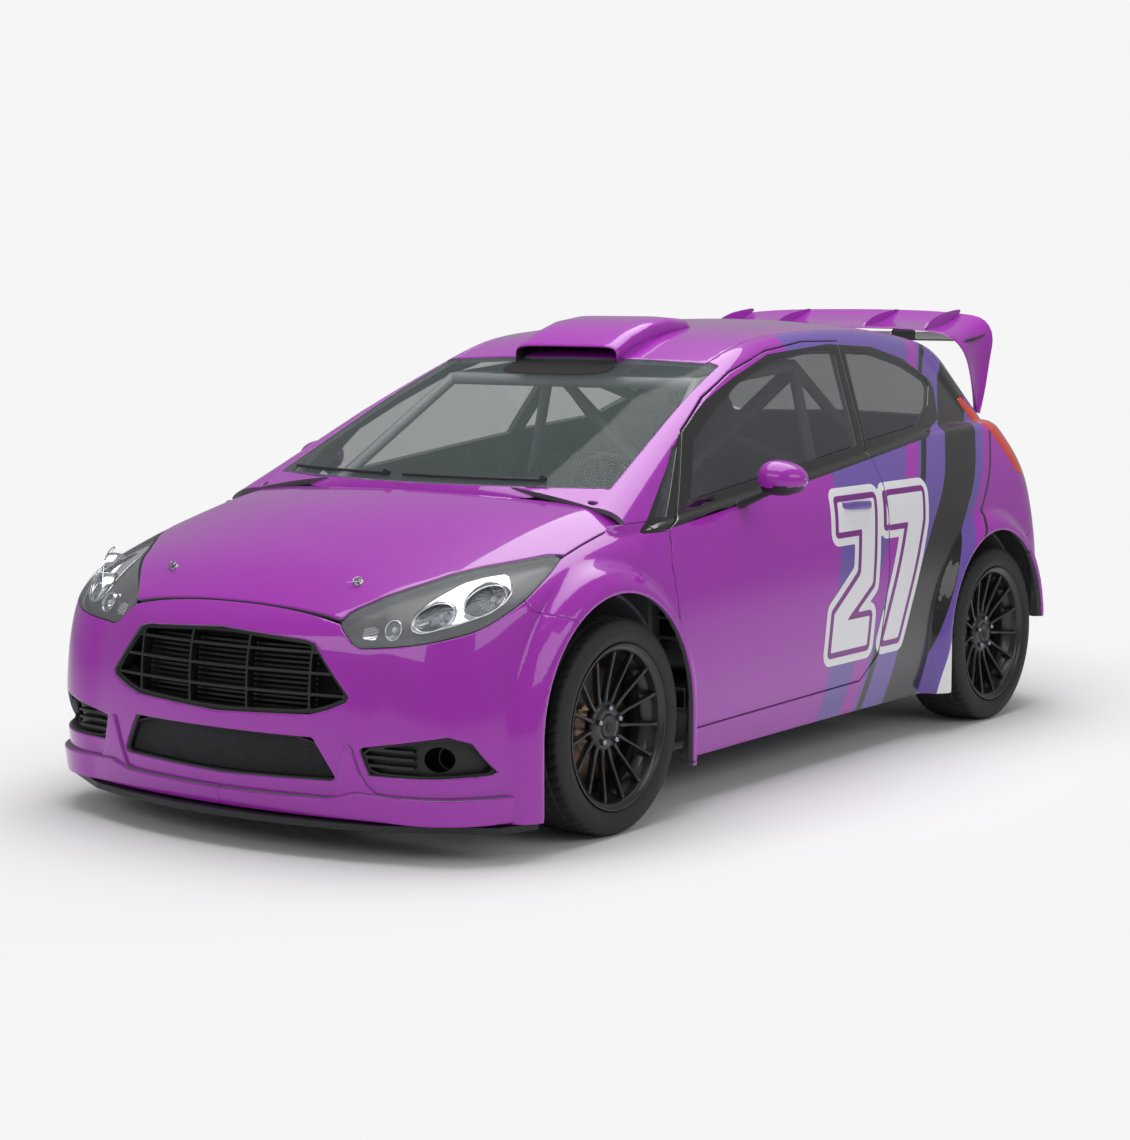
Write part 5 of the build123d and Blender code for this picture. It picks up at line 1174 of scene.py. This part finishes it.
def oval(centre, half, grow=0.0, lean=0.30):
    """Cut that keeps what lies outside a leaning oval of the lamp's plane."""
    def cut(v):
        x, y = np.abs(v[:, 0]) - LAMP_ORIGIN[0], v[:, 1] - LAMP_ORIGIN[1]
        u = (x * LAMP_ALONG[0] + y * LAMP_ALONG[1] - centre[0]) / (half[0] + grow)
        z = (v[:, 2] - centre[1] - lean * half[0] * u) / (half[1] + grow)
        return (1 - np.hypot(u, z)) * half[1]
    return cut


def low_zone(v):
    """Negative on the bezel's dark lower border and its outer lower corner."""
    x, y = np.abs(v[:, 0]) - LAMP_ORIGIN[0], v[:, 1] - LAMP_ORIGIN[1]
    u = x * LAMP_ALONG[0] + y * LAMP_ALONG[1]
    return v[:, 2] - np.interp(u, mm([0, 90, 250, 387, 512, 650]), mm([632, 628, 650, 690, 770, 812]))


body_panel("lamp_lens_left", LAMP_U, LAMP_TILT, [lamp_of(-1 * MM), left_half], [lamp_lens] * 3, "chassis",
           thickness=0.003, forms=("lower",), inset=0.0015, flare=False, roll=0, slot="lamp_lens", twin=True,
           cell=0.006, also=["headlamps"])
body_panel("lamp_seal_left", LAMP_U, LAMP_TILT,
           [lamp_of(3.5 * MM), lamp_of(-1.5 * MM, True), left_half], black_set, "chassis",
           thickness=0.010, forms=("lower",), inset=0.003, flare=False, roll=0, slot="black_plastic", twin=True,
           cell=0.005)
body_panel("lamp_bezel_left", LAMP_U, LAMP_TILT,
           [lamp_of(8 * MM), lamp_of(1 * MM, True, GROUP), oval(SIDE_LAMP, SIDE_HALF), left_half],
           [lamp_bezel, black_plastic, black_plastic], "chassis", zone=low_zone,
           thickness=0.003, forms=("lower",), inset=0.030, flare=False, roll=1 * MM, slot="lamp_lens", twin=True,
           cell=0.006)
body_panel("lamp_shell_left", LAMP_U, LAMP_TILT,
           [lamp_of(0, False, GROUP), oval(MAIN_LAMP, MAIN_HALF, -1 * MM), oval(HIGH_LAMP, HIGH_HALF, -1 * MM),
            left_half], [chrome, black_plastic, chrome], "chassis",
           thickness=0.003, forms=("lower",), inset=0.024, flare=False, roll=1 * MM, slot="lamp_lens", twin=True,
           cell=0.0045)
body_panel("lamp_reflex_left", LAMP_U, LAMP_TILT,
           [lamp_of(0, False, mm([(62, 622), (104, 622), (112, 656), (70, 656)])),
            bars(np.arange(0.610, 0.66, 0.0045), 3 * MM, 2), left_half], [chrome, chrome, chrome], "chassis",
           thickness=0.002, forms=("lower",), inset=0.026, flare=False, roll=0, slot="lamp_lens", twin=True,
           cell=0.004)
lamp_shapes = []
for centre, half, depth, flutes in ((MAIN_LAMP, MAIN_HALF, 0.085, 20), (HIGH_LAMP, HIGH_HALF, 0.085, 0),
                                    (SIDE_LAMP, SIDE_HALF, 0.035, 0)):
    verts, faces, middle, inward = bowl(centre, half, 0.025, depth, flutes)
    lamp_shapes.append((verts, faces))
    lamp_shapes.append(hoop(lamp_ring(centre, half, 0.0235), 1.6 * MM))
    bulb = mm([(0, 0.5), (0, 9), (22, 8), (30, 5), (33, 0.5)])
    lamp_shapes.append(turned(bulb, middle + inward * depth * 0.86, -inward, turns=20) + (1,))
lamp_shapes.append(hoop(lamp_points(*smooth_loop(GROUP, 2).T, 0.0225), 1.8 * MM))
bulb_glass = material("Glass bulb, frosted tip", "d5d8da", 0.2, 0.05, grain_mm=4)
for side_name, flip in (("left", False), ("right", True)):
    verts, faces, slots = joined(*[moved(s, flip=flip) for s in lamp_shapes])
    add_object(f"lamp_bowls_{side_name}", verts, faces, [chrome, bulb_glass], "chassis", face_slots=slots)
print("headlamps made")

# %% [markdown]
# ## Finishes of the plain CAD pieces
# The floor, the engine and the suspension keep their CAD shapes: only their material slots change.
# %% CAD finishes
radiator_core = material("Aluminium, brazed fins, black paint", "2b2c2e", 0.5, 0.3, 0.6, grain_mm=1.5, relief_mm=0.4)
CAD_FINISH = {
    "floor_pan": floor_steel, "engine": cast_alloy, "radiator": radiator_core, "exhaust": stainless,
    "front_suspension": forged, "rear_suspension": forged, "knuckle_left": forged, "knuckle_right": forged,
    "roll_cage": cage_paint, "dashboard": flock, "steering_wheel": suede, "splitter": black_plastic,
    "cowl": plain_paint, "wipers": black_plastic,
}
for node_name, finish in CAD_FINISH.items():
    for material_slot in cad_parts[node_name].material_slots:
        material_slot.material = finish
print("finished", len(CAD_FINISH), "CAD nodes")

# %% [markdown]
# ## Wing, scoop and mirrors
# A laid-up wing is one ribbon: its front and rear edges are two curves in space, and the section between them is a
# thin cambered aerofoil. The same ribbon runs across the car and turns down into the end plates.
# %% Rear wing


def lofted(loops, caps=True):
    """Skin over closed loops of points, row after row, with a flat cap at each end."""
    rows, count = loops.shape[:2]
    faces = [tuple(f) for f in grid_quads(rows, count, False, True).tolist()]
    if caps:
        faces += [tuple(range(count))[::-1], tuple(range((rows - 1) * count, rows * count))]
    return loops.reshape(-1, 3), faces


def ribbon(front, rear, camber, thickness, count=28, rows=72):
    """Aerofoil strip: P(s, a) = F + t (R - F) - camber 4t(1-t) n + h(t) sin(a) n, with t = (1 - cos a) / 2."""
    front, rear = curve_points(front, rows), curve_points(rear, rows)
    chord = rear - front
    run = np.gradient((front + rear) / 2, axis=0)
    normal = np.cross(run, chord)
    normal /= np.linalg.norm(normal, axis=1, keepdims=True)
    a = np.linspace(0, 2 * math.pi, count, endpoint=False)
    t = (1 - np.cos(a)) / 2
    height = np.sin(a) * thickness * (1.15 - 0.75 * t) - camber * 4 * t * (1 - t)
    return lofted(front[:, None] + t[None, :, None] * chord[:, None] + height[None, :, None] * normal[:, None])


def across(points):
    """Both halves of a curve given from the centre line to the left end."""
    half = np.array(points, float)
    return np.concatenate([(half * [-1, 1, 1])[:0:-1], half])


WING_FRONT = mm([(0, 1500, 1446), (300, 1500, 1443), (500, 1502, 1432), (575, 1512, 1412), (603, 1552, 1372),
                 (606, 1610, 1310), (602, 1668, 1210), (597, 1715, 1118)])
WING_REAR = mm([(0, 1815, 1512), (300, 1813, 1508), (500, 1812, 1494), (580, 1814, 1468), (608, 1816, 1420),
                (608, 1806, 1340), (603, 1778, 1220), (598, 1742, 1112)])
FLAP_FRONT = mm([(0, 1600, 1398), (600, 1600, 1396)])
FLAP_REAR = mm([(0, 1800, 1428), (600, 1800, 1424)])
FENCE = mm([(1512, 1440), (1530, 1458), (1570, 1478), (1640, 1496), (1720, 1506), (1806, 1514), (1806, 1500),
            (1700, 1462), (1600, 1444)])
STAY = mm([(1450, 1352), (1500, 1438), (1640, 1462), (1700, 1424), (1640, 1352), (1560, 1330)])
verts, faces = ribbon(across(WING_FRONT), across(WING_REAR), 0.016, 0.008)
wing = joined((verts, faces), *[slab(smooth_loop(FENCE, 1), x - 0.004, x + 0.004) for x in (-0.47, -0.2, 0.2, 0.47)])
bevelled(add_object("wing_shell", wing[0], wing[1], [plain_paint], "tailgate", ["rear_wing"]),
         1.2 * MM, 2)
straight = [np.linspace(edge[0] * [-1, 1, 1] + [-0.6, 0, 0], edge[1], 12) for edge in (FLAP_FRONT, FLAP_REAR)]
flap = joined(ribbon(*straight, 0.006, 0.006, rows=24),
              *[slab(smooth_loop(STAY, 1), *sorted((s * 0.331, s * 0.339))) for s in (1, -1)])
bevelled(add_object("wing_flap", flap[0], flap[1], [gloss_black], "tailgate"), 1 * MM, 2)

# %% Roof scoop
SCOOP = [(312, 1440, 196), (240, 1493, 202), (120, 1500, 208), (0, 1486, 211), (-110, 1453, 212), (-196, 1412, 212),
         (-206, 1406, 211), (-209, 1401, 208), (-206, 1396, 204), (-196, 1397, 200), (-100, 1428, 199), (20, 1440, 198)]
SCOOP_OUTER_ROWS = 7        # rows before the lip turns inward


def scoop_rows(table, power=7.0, count=48):
    """Loops across the car for rows of (y, top z, half width), down to just under the roof's skin."""
    a = np.linspace(0, math.pi, count)
    c, s = np.sign(np.cos(a)) * np.abs(np.cos(a)) ** (2 / power), np.sin(a) ** (2 / power)
    loops = []
    for y, top, half in mm(table):
        roof = float(row_at(CROWNS["cabin"], np.array([y]))[0, 0]) - 0.022
        loops.append(np.stack([half * c, np.full(count, y), roof + (top - roof) * s], -1))
    return np.array(loops)


verts, faces = lofted(scoop_rows(SCOOP))
# The inside of the scoop's mouth takes the near-black sheet for the shade within it: painted shade.
inner_faces = [1 if min(f) >= 48 * SCOOP_OUTER_ROWS else 0 for f in faces]
add_object("scoop", verts, faces, [plain_paint, painted_void_shade], "chassis", ["roof_scoop"], inner_faces)
# The slot's near-black stands for the shade inside it: painted shade.
body_panel("screen_slot", (-0.40, -0.08), (50, 130),
           [front_of(smooth_loop(mm([(-212, 1312), (212, 1312), (222, 1352), (-222, 1352)]), 2))],
           [painted_void_shade] * 3, "chassis", thickness=0.0015, forms=("cabin",), inset=0.0012, flare=False, roll=0,
           slot="black_plastic", square=True)

# %% Mirrors
t = np.linspace(-1, 1, 29)
swell = np.sqrt(np.clip(1 - np.abs(t) ** 2.4, 0.0004, 1))
mirror_path = np.stack([0.950 + 0.079 * t, -0.372 + 0.010 * t, 1.004 - 0.006 * t], 1)
verts, faces = swept(mirror_path, 0.072 * swell * (1 - 0.12 * t), 0.055 * swell * (1 - 0.14 * t), count=40, power=2.3)
verts[:, 1] = np.minimum(verts[:, 1], -0.326)
centres = np.array([verts[list(f)].mean(0) for f in faces])
lower = ((centres[:, 2] < 0.982 + 0.02 * (centres[:, 1] + 0.372)) | (centres[:, 1] > -0.328)).astype(int)
stalk = swept(curve_points([(0.918, -0.380, 0.965), (0.872, -0.388, 0.946), (0.808, -0.398, 0.915)], 14),
              np.linspace(0.024, 0.030, 14), np.linspace(0.011, 0.015, 14), count=20)
silvered = swept(np.stack([0.950 + 0.064 * t, np.full(29, -0.3255), 1.004 - 0.006 * t], 1), np.full(29, 0.0012),
                 0.042 * swell, count=24, power=4)
for side_name, flip in (("left", False), ("right", True)):
    shapes = [moved((verts, faces), flip=flip), moved(stalk + (1,), flip=flip), moved(silvered + (2,), flip=flip)]
    whole, polygons, slots = joined(*shapes)
    slots[:len(faces)] = lower.tolist()
    add_object(f"mirror_housing_{side_name}", whole, polygons, [plain_paint, black_plastic, chrome],
               f"door_{side_name}", [f"mirror_{side_name}"], slots)
print("wing, scoop and mirrors made")

# %% [markdown]
# ## Race number and small fittings
# The number is cut film laid over the printed bands: a white block digit, a purple line round it and a white
# border. It crosses the door gap, so the part on the door moves with the door.
# %% Race number
SLANT = 0.13
TWO = [(0, .5), (.25, .5), (.25, .21), (.09, .10), (.25, .10), (.25, 0), (0, 0), (0, .13), (.16, .25), (.16, .40),
       (0, .40)]
SEVEN = [(0, .5), (.27, .5), (.27, .40), (.14, 0), (.03, 0), (.16, .40), (0, .40)]
NUMBER_AT, NUMBER_STEP = (0.105, 0.385), 0.335
NUMBER_LAYERS = [(0.046, "e9e9ec", "white"), (0.020, "7d1c86", "purple"), (0.0, "e9e9ec", "white")]


def digit(shape, start, mirrored):
    """Outline of a digit in (y, z), slanted, for the left side or read from the right side."""
    points = np.array(shape)
    points[:, 0] = start + points[:, 0] + SLANT * points[:, 1]
    points[:, 1] += NUMBER_AT[1]
    if mirrored:
        points[:, 0] = 2 * (NUMBER_AT[0] + 0.335) - points[:, 0]
    return points


for level, (grow, hex_colour, label) in enumerate(NUMBER_LAYERS):
    film = material(f"Vinyl film, cut, {label} {level}", hex_colour, 0.3, 0.03, grain_mm=2, Coat_Weight=0.3)
    for side_name, mirrored in (("left", False), ("right", True)):
        digits = either(*[side_of(digit(shape, NUMBER_AT[0] + k * NUMBER_STEP, mirrored), grow)
                          for k, shape in enumerate((TWO, SEVEN))])
        lift = dict(inset=-(0.0007 + 0.0006 * level), thickness=0.0008, roll=0, slot="body_paint",
                    flip=mirrored)
        body_panel(f"number_{label}{level}_door_{side_name}", (station(-0.87), station(0.67)), (-18, 60),
                   [side_of(DOOR, -1 * MM), side_of(DOOR_WINDOW, 12 * MM, True), digits], [film] * 3,
                   f"door_{side_name}", **lift)
        body_panel(f"number_{label}{level}_side_{side_name}", (station(-1.02), MID + 1.10), (-25, 75),
                   [side_of(DOOR, 5 * MM, True), digits, lambda v: 0.2 - v[:, 1], left_half], [film] * 3, "chassis",
                   **lift)

# %% Handles, pins and skirt
for side_name, flip in (("left", False), ("right", True)):
    handle = swept(curve_points([(0.842, 0.205, 0.872), (0.862, 0.235, 0.871), (0.868, 0.300, 0.868),
                                 (0.862, 0.365, 0.865), (0.840, 0.395, 0.864)], 24),
                   np.full(24, 0.006), np.interp(np.linspace(0, 1, 24), [0, .2, .8, 1], [.010, .014, .014, .010]),
                   count=16)
    points, polygons, _ = joined(moved(handle, flip=flip))
    add_object(f"handle_{side_name}", points, polygons, [film_paint], f"door_{side_name}")
    duct_at = np.array([DUCT_X, -1.752, DUCT_Z])
    duct = turned(smooth_loop(mm([(10, 32), (13, 36), (10, 40), (-70, 40), (-70, 1), (-66, 1), (-64, 31)]), 1),
                  duct_at, (0.50, -0.86, 0.0), turns=56)
    points, polygons, _ = joined(moved(duct, flip=flip))
    add_object(f"brake_duct_{side_name}", points, polygons, [black_plastic], "chassis")
    pin_at = np.array([0.360, -1.745, 0.766])
    pin_up = np.array([0.10, -0.52, 0.85])
    plate = turned(mm([(-4, 1), (-4, 15), (1.5, 15), (2.5, 12), (2.5, 1)]), pin_at, pin_up, turns=32)
    stem = turned(mm([(0, 1), (0, 4), (16, 4), (19, 2.5), (20, 1)]), pin_at, pin_up, turns=16)
    b = np.linspace(0, 1.75 * math.pi, 26)
    clip_flat = np.array([0.85, 0.45, 0.12])
    clip_side = np.cross(pin_up, clip_flat)
    ring = pin_at + 0.010 * pin_up + 0.013 * (np.cos(b)[:, None] * clip_flat + np.sin(b)[:, None] * clip_side)
    leg = ring[-1] + np.linspace(0, 0.040, 12)[:, None] * -clip_flat
    clip = swept(curve_points(np.concatenate([ring, leg[1:]]), 60), 0.0016, 0.0016, side=pin_up, count=8, power=2)
    points, polygons, _ = joined(*[moved(s, flip=flip) for s in (plate, stem, clip)])
    add_object(f"bonnet_pin_{side_name}", points, polygons, [zinc], "bonnet")
SKIRT = mm([(0, 116), (0, 166), (380, 172), (430, 184), (470, 196), (560, 192), (930, 192), (930, 116)])
BRACE = mm([(404, 184), (420, 232), (446, 330), (466, 330), (494, 236), (540, 190), (540, 170), (404, 170)])
body_panel("bumper_skirt", (-1.30, 1.30), (-31, -12), [front_of(SKIRT), outside_arch(FRONT_ARCH, -2 * MM)],
           skin_out, "chassis", thickness=0.034, forms=("lower",), inset=-0.020, roll=4 * MM, flare=False,
           cell=0.0075)
body_panel("bumper_brace_left", (0.2, 0.9), (-31, -8), [front_of(smooth_loop(BRACE)), left_half], skin_out,
           "chassis", thickness=0.024, forms=("lower",), inset=-0.009, roll=4 * MM, flare=False, cell=0.006, twin=True)

# %% [markdown]
# ## Seats
# A bucket seat is a stiff moulded shell on rails, with separate padded cushions. Each cushion is a crowned closed
# form that narrows between its corners.
# %% Seats
SEAT_X = 0.352
SHELL_PATH = mm([(0, -255, 318), (0, -80, 300), (0, 60, 300), (0, 135, 350), (0, 185, 480), (0, 225, 680),
                 (0, 268, 880), (0, 318, 1000)])
WING_OUTLINE = mm([(-250, 305), (-180, 395), (40, 425), (95, 520), (150, 700), (205, 900), (270, 1000), (330, 1000),
                   (296, 800), (236, 560), (196, 400), (140, 316), (60, 276), (-200, 282)])
CUSHIONS = {
    "base": ([(0, -235, 345), (0, -120, 335), (0, 0, 330), (0, 90, 338)], 0.030, 0.165),
    "back": ([(0, 128, 400), (0, 168, 520), (0, 200, 640), (0, 230, 780)], 0.028, 0.160),
    "head": ([(0, 248, 850), (0, 262, 900), (0, 278, 960)], 0.022, 0.105),
}
composite = material("Glass fibre, moulded, gloss black gelcoat", "121214", 0.25, 0.1, grain_mm=6, Coat_Weight=0.4)
for side_name, seat_at in (("left", SEAT_X), ("right", -SEAT_X)):
    place = (seat_at, 0, 0)
    path = curve_points(SHELL_PATH, 40)
    shell = swept(path, np.full(40, 0.006), np.interp(path[:, 2], [0.3, 0.5, 0.9, 1.0], [0.205, 0.205, 0.17, 0.12]),
                  side=(1, 0, 0), count=24, power=6)
    parts = [moved(shell, place)]
    for s in (1, -1):
        wing_x = sorted((s * 0.196, s * 0.206))
        parts.append(moved(slab(smooth_loop(WING_OUTLINE), *wing_x), place))
        parts.append(moved(slab(mm([(-200, 172), (170, 172), (170, 292), (-200, 300)]),
                                *sorted((s * 0.150, s * 0.158))), place))
    points, polygons, _ = joined(*parts)
    also_replaces = ["seats"] if side_name == "left" else ()
    bevelled(add_object(f"seat_shell_{side_name}", points, polygons, [composite], "chassis", also_replaces), 1.5 * MM, 2)
    for part_name, (line, thick, half) in CUSHIONS.items():
        path = curve_points(mm(line), 30)
        k = np.linspace(-1, 1, 30)
        crown = np.sqrt(np.clip(1 - np.abs(k) ** 4, 0.001, 1))
        waist = half * (1 - 0.06 * (1 - k ** 2)) * np.clip(crown * 1.6, 0, 1)
        channel = 1 - 0.10 * np.exp(-((np.abs(k) - 0.33) / 0.05) ** 2)
        pad = swept(path, thick * crown * channel, waist, side=(1, 0, 0), count=32, power=2.8)
        points, polygons, _ = joined(moved(pad, place))
        cushion = add_object(f"cushion_{part_name}_{side_name}", points, polygons, [seat_cloth], "chassis")
print("seats made")

# %% [markdown]
# ## Camera, light and floor
# The camera stands at a person's height off the front left corner, so nose and side show at once. Large soft boxes
# above and to the side give long, quiet reflections on the paint, as in a real car studio; small lamps would spot it.
# %% Camera
camera_data = bpy.data.cameras.new("camera")
camera_data.lens = 80.49
camera_data.sensor_width = 36.0
camera_data.clip_end = 100.0
camera = bpy.data.objects.new("camera", camera_data)
bpy.context.scene.collection.objects.link(camera)
azimuth, elevation = math.radians(35.124), math.radians(6.34)
back = Vector((math.sin(azimuth) * math.cos(elevation), -math.cos(azimuth) * math.cos(elevation),
               math.sin(elevation)))
right = Vector((math.cos(azimuth), math.sin(azimuth), 0))
turn = Matrix((right, back.cross(right), back)).transposed()
camera.matrix_world = Matrix.Translation((4.9818, -7.2939, 1.6010)) @ turn.to_4x4()
bpy.context.scene.camera = camera

# %% Floor, backdrop light and lamps
BACKDROP = "f6f6f6"


def studio_floor():
    """Matt white painted floor that keeps the car's shadow and fades to the backdrop's white away from it."""
    made = bpy.data.materials.new("Studio floor, matt white paint")
    made.use_nodes = True
    tree = made.node_tree
    shader = tree.nodes["Principled BSDF"]
    shader.inputs["Base Color"].default_value = linear("f1f1f2")
    shader.inputs["Roughness"].default_value = 0.9
    shader.inputs["Specular IOR Level"].default_value = 0.0
    place = node(tree, "ShaderNodeTexCoord")
    shrink = node(tree, "ShaderNodeMapping", [("Vector", place.outputs["Object"])], Scale=(1 / 1.5, 1 / 2.5, 1.0))
    away = node(tree, "ShaderNodeVectorMath", [(0, shrink.outputs["Vector"])], operation="LENGTH")
    fade = node(tree, "ShaderNodeMapRange", [("Value", away.outputs["Value"])], interpolation_type="SMOOTHSTEP",
                From_Min=0.80, From_Max=1.45)
    path = node(tree, "ShaderNodeLightPath")
    through = node(tree, "ShaderNodeMath", [(0, path.outputs["Is Camera Ray"]),
                                            (1, path.outputs["Is Transmission Ray"])], operation="MAXIMUM")
    share = node(tree, "ShaderNodeMath", [(0, fade.outputs["Result"]), (1, through.outputs[0])],
                 operation="MULTIPLY")
    glow = node(tree, "ShaderNodeEmission", Color=linear(BACKDROP), Strength=1.0)
    both = node(tree, "ShaderNodeMixShader", [(0, share.outputs[0]), (1, shader.outputs[0]),
                                              (2, glow.outputs[0])])
    tree.links.new(both.outputs[0], tree.nodes["Material Output"].inputs["Surface"])
    return made


floor_mesh = bpy.data.meshes.new("floor")
FLOOR_HALF = 60.0
floor_mesh.from_pydata([(-FLOOR_HALF, -FLOOR_HALF, 0), (FLOOR_HALF, -FLOOR_HALF, 0),
                        (FLOOR_HALF, FLOOR_HALF, 0), (-FLOOR_HALF, FLOOR_HALF, 0)], [], [(0, 1, 2, 3)])
floor_mesh.materials.append(studio_floor())
floor = bpy.data.objects.new("floor", floor_mesh)
bpy.context.scene.collection.objects.link(floor)

world = bpy.data.worlds.new("studio")
bpy.context.scene.world = world
world.use_nodes = True
world_tree = world.node_tree
background = world_tree.nodes["Background"]
world_path = node(world_tree, "ShaderNodeLightPath")
shown = node(world_tree, "ShaderNodeMath", [(0, world_path.outputs["Is Camera Ray"]),
                                            (1, world_path.outputs["Is Transmission Ray"])], operation="MAXIMUM")
level = node(world_tree, "ShaderNodeMapRange", [("Value", shown.outputs[0])], To_Min=0.34, To_Max=1.0)
world_tree.links.new(level.outputs["Result"], background.inputs["Strength"])
background.inputs["Color"].default_value = linear(BACKDROP)


def soft_box(name, place, target, size, power):
    """Rectangular soft light at a place, aimed at a target."""
    data = bpy.data.lights.new(name, "AREA")
    data.shape = "RECTANGLE"
    data.size, data.size_y = size
    data.energy = power
    made = bpy.data.objects.new(name, data)
    bpy.context.scene.collection.objects.link(made)
    aim = (Vector(place) - Vector(target)).to_track_quat("Z", "Y").to_matrix().to_4x4()
    made.matrix_world = Matrix.Translation(place) @ aim
    return made


soft_box("top box", (0.0, 0.2, 5.0), (0, 0.2, 0), (4.0, 7.0), 250)
soft_box("side box", (6.0, -1.0, 3.4), (0, 0, 0.7), (6.0, 2.2), 75)
soft_box("nose box", (-0.5, -7.0, 3.2), (0, -1, 0.6), (5.0, 2.0), 60)
bpy.context.scene.view_settings.view_transform = "Standard"
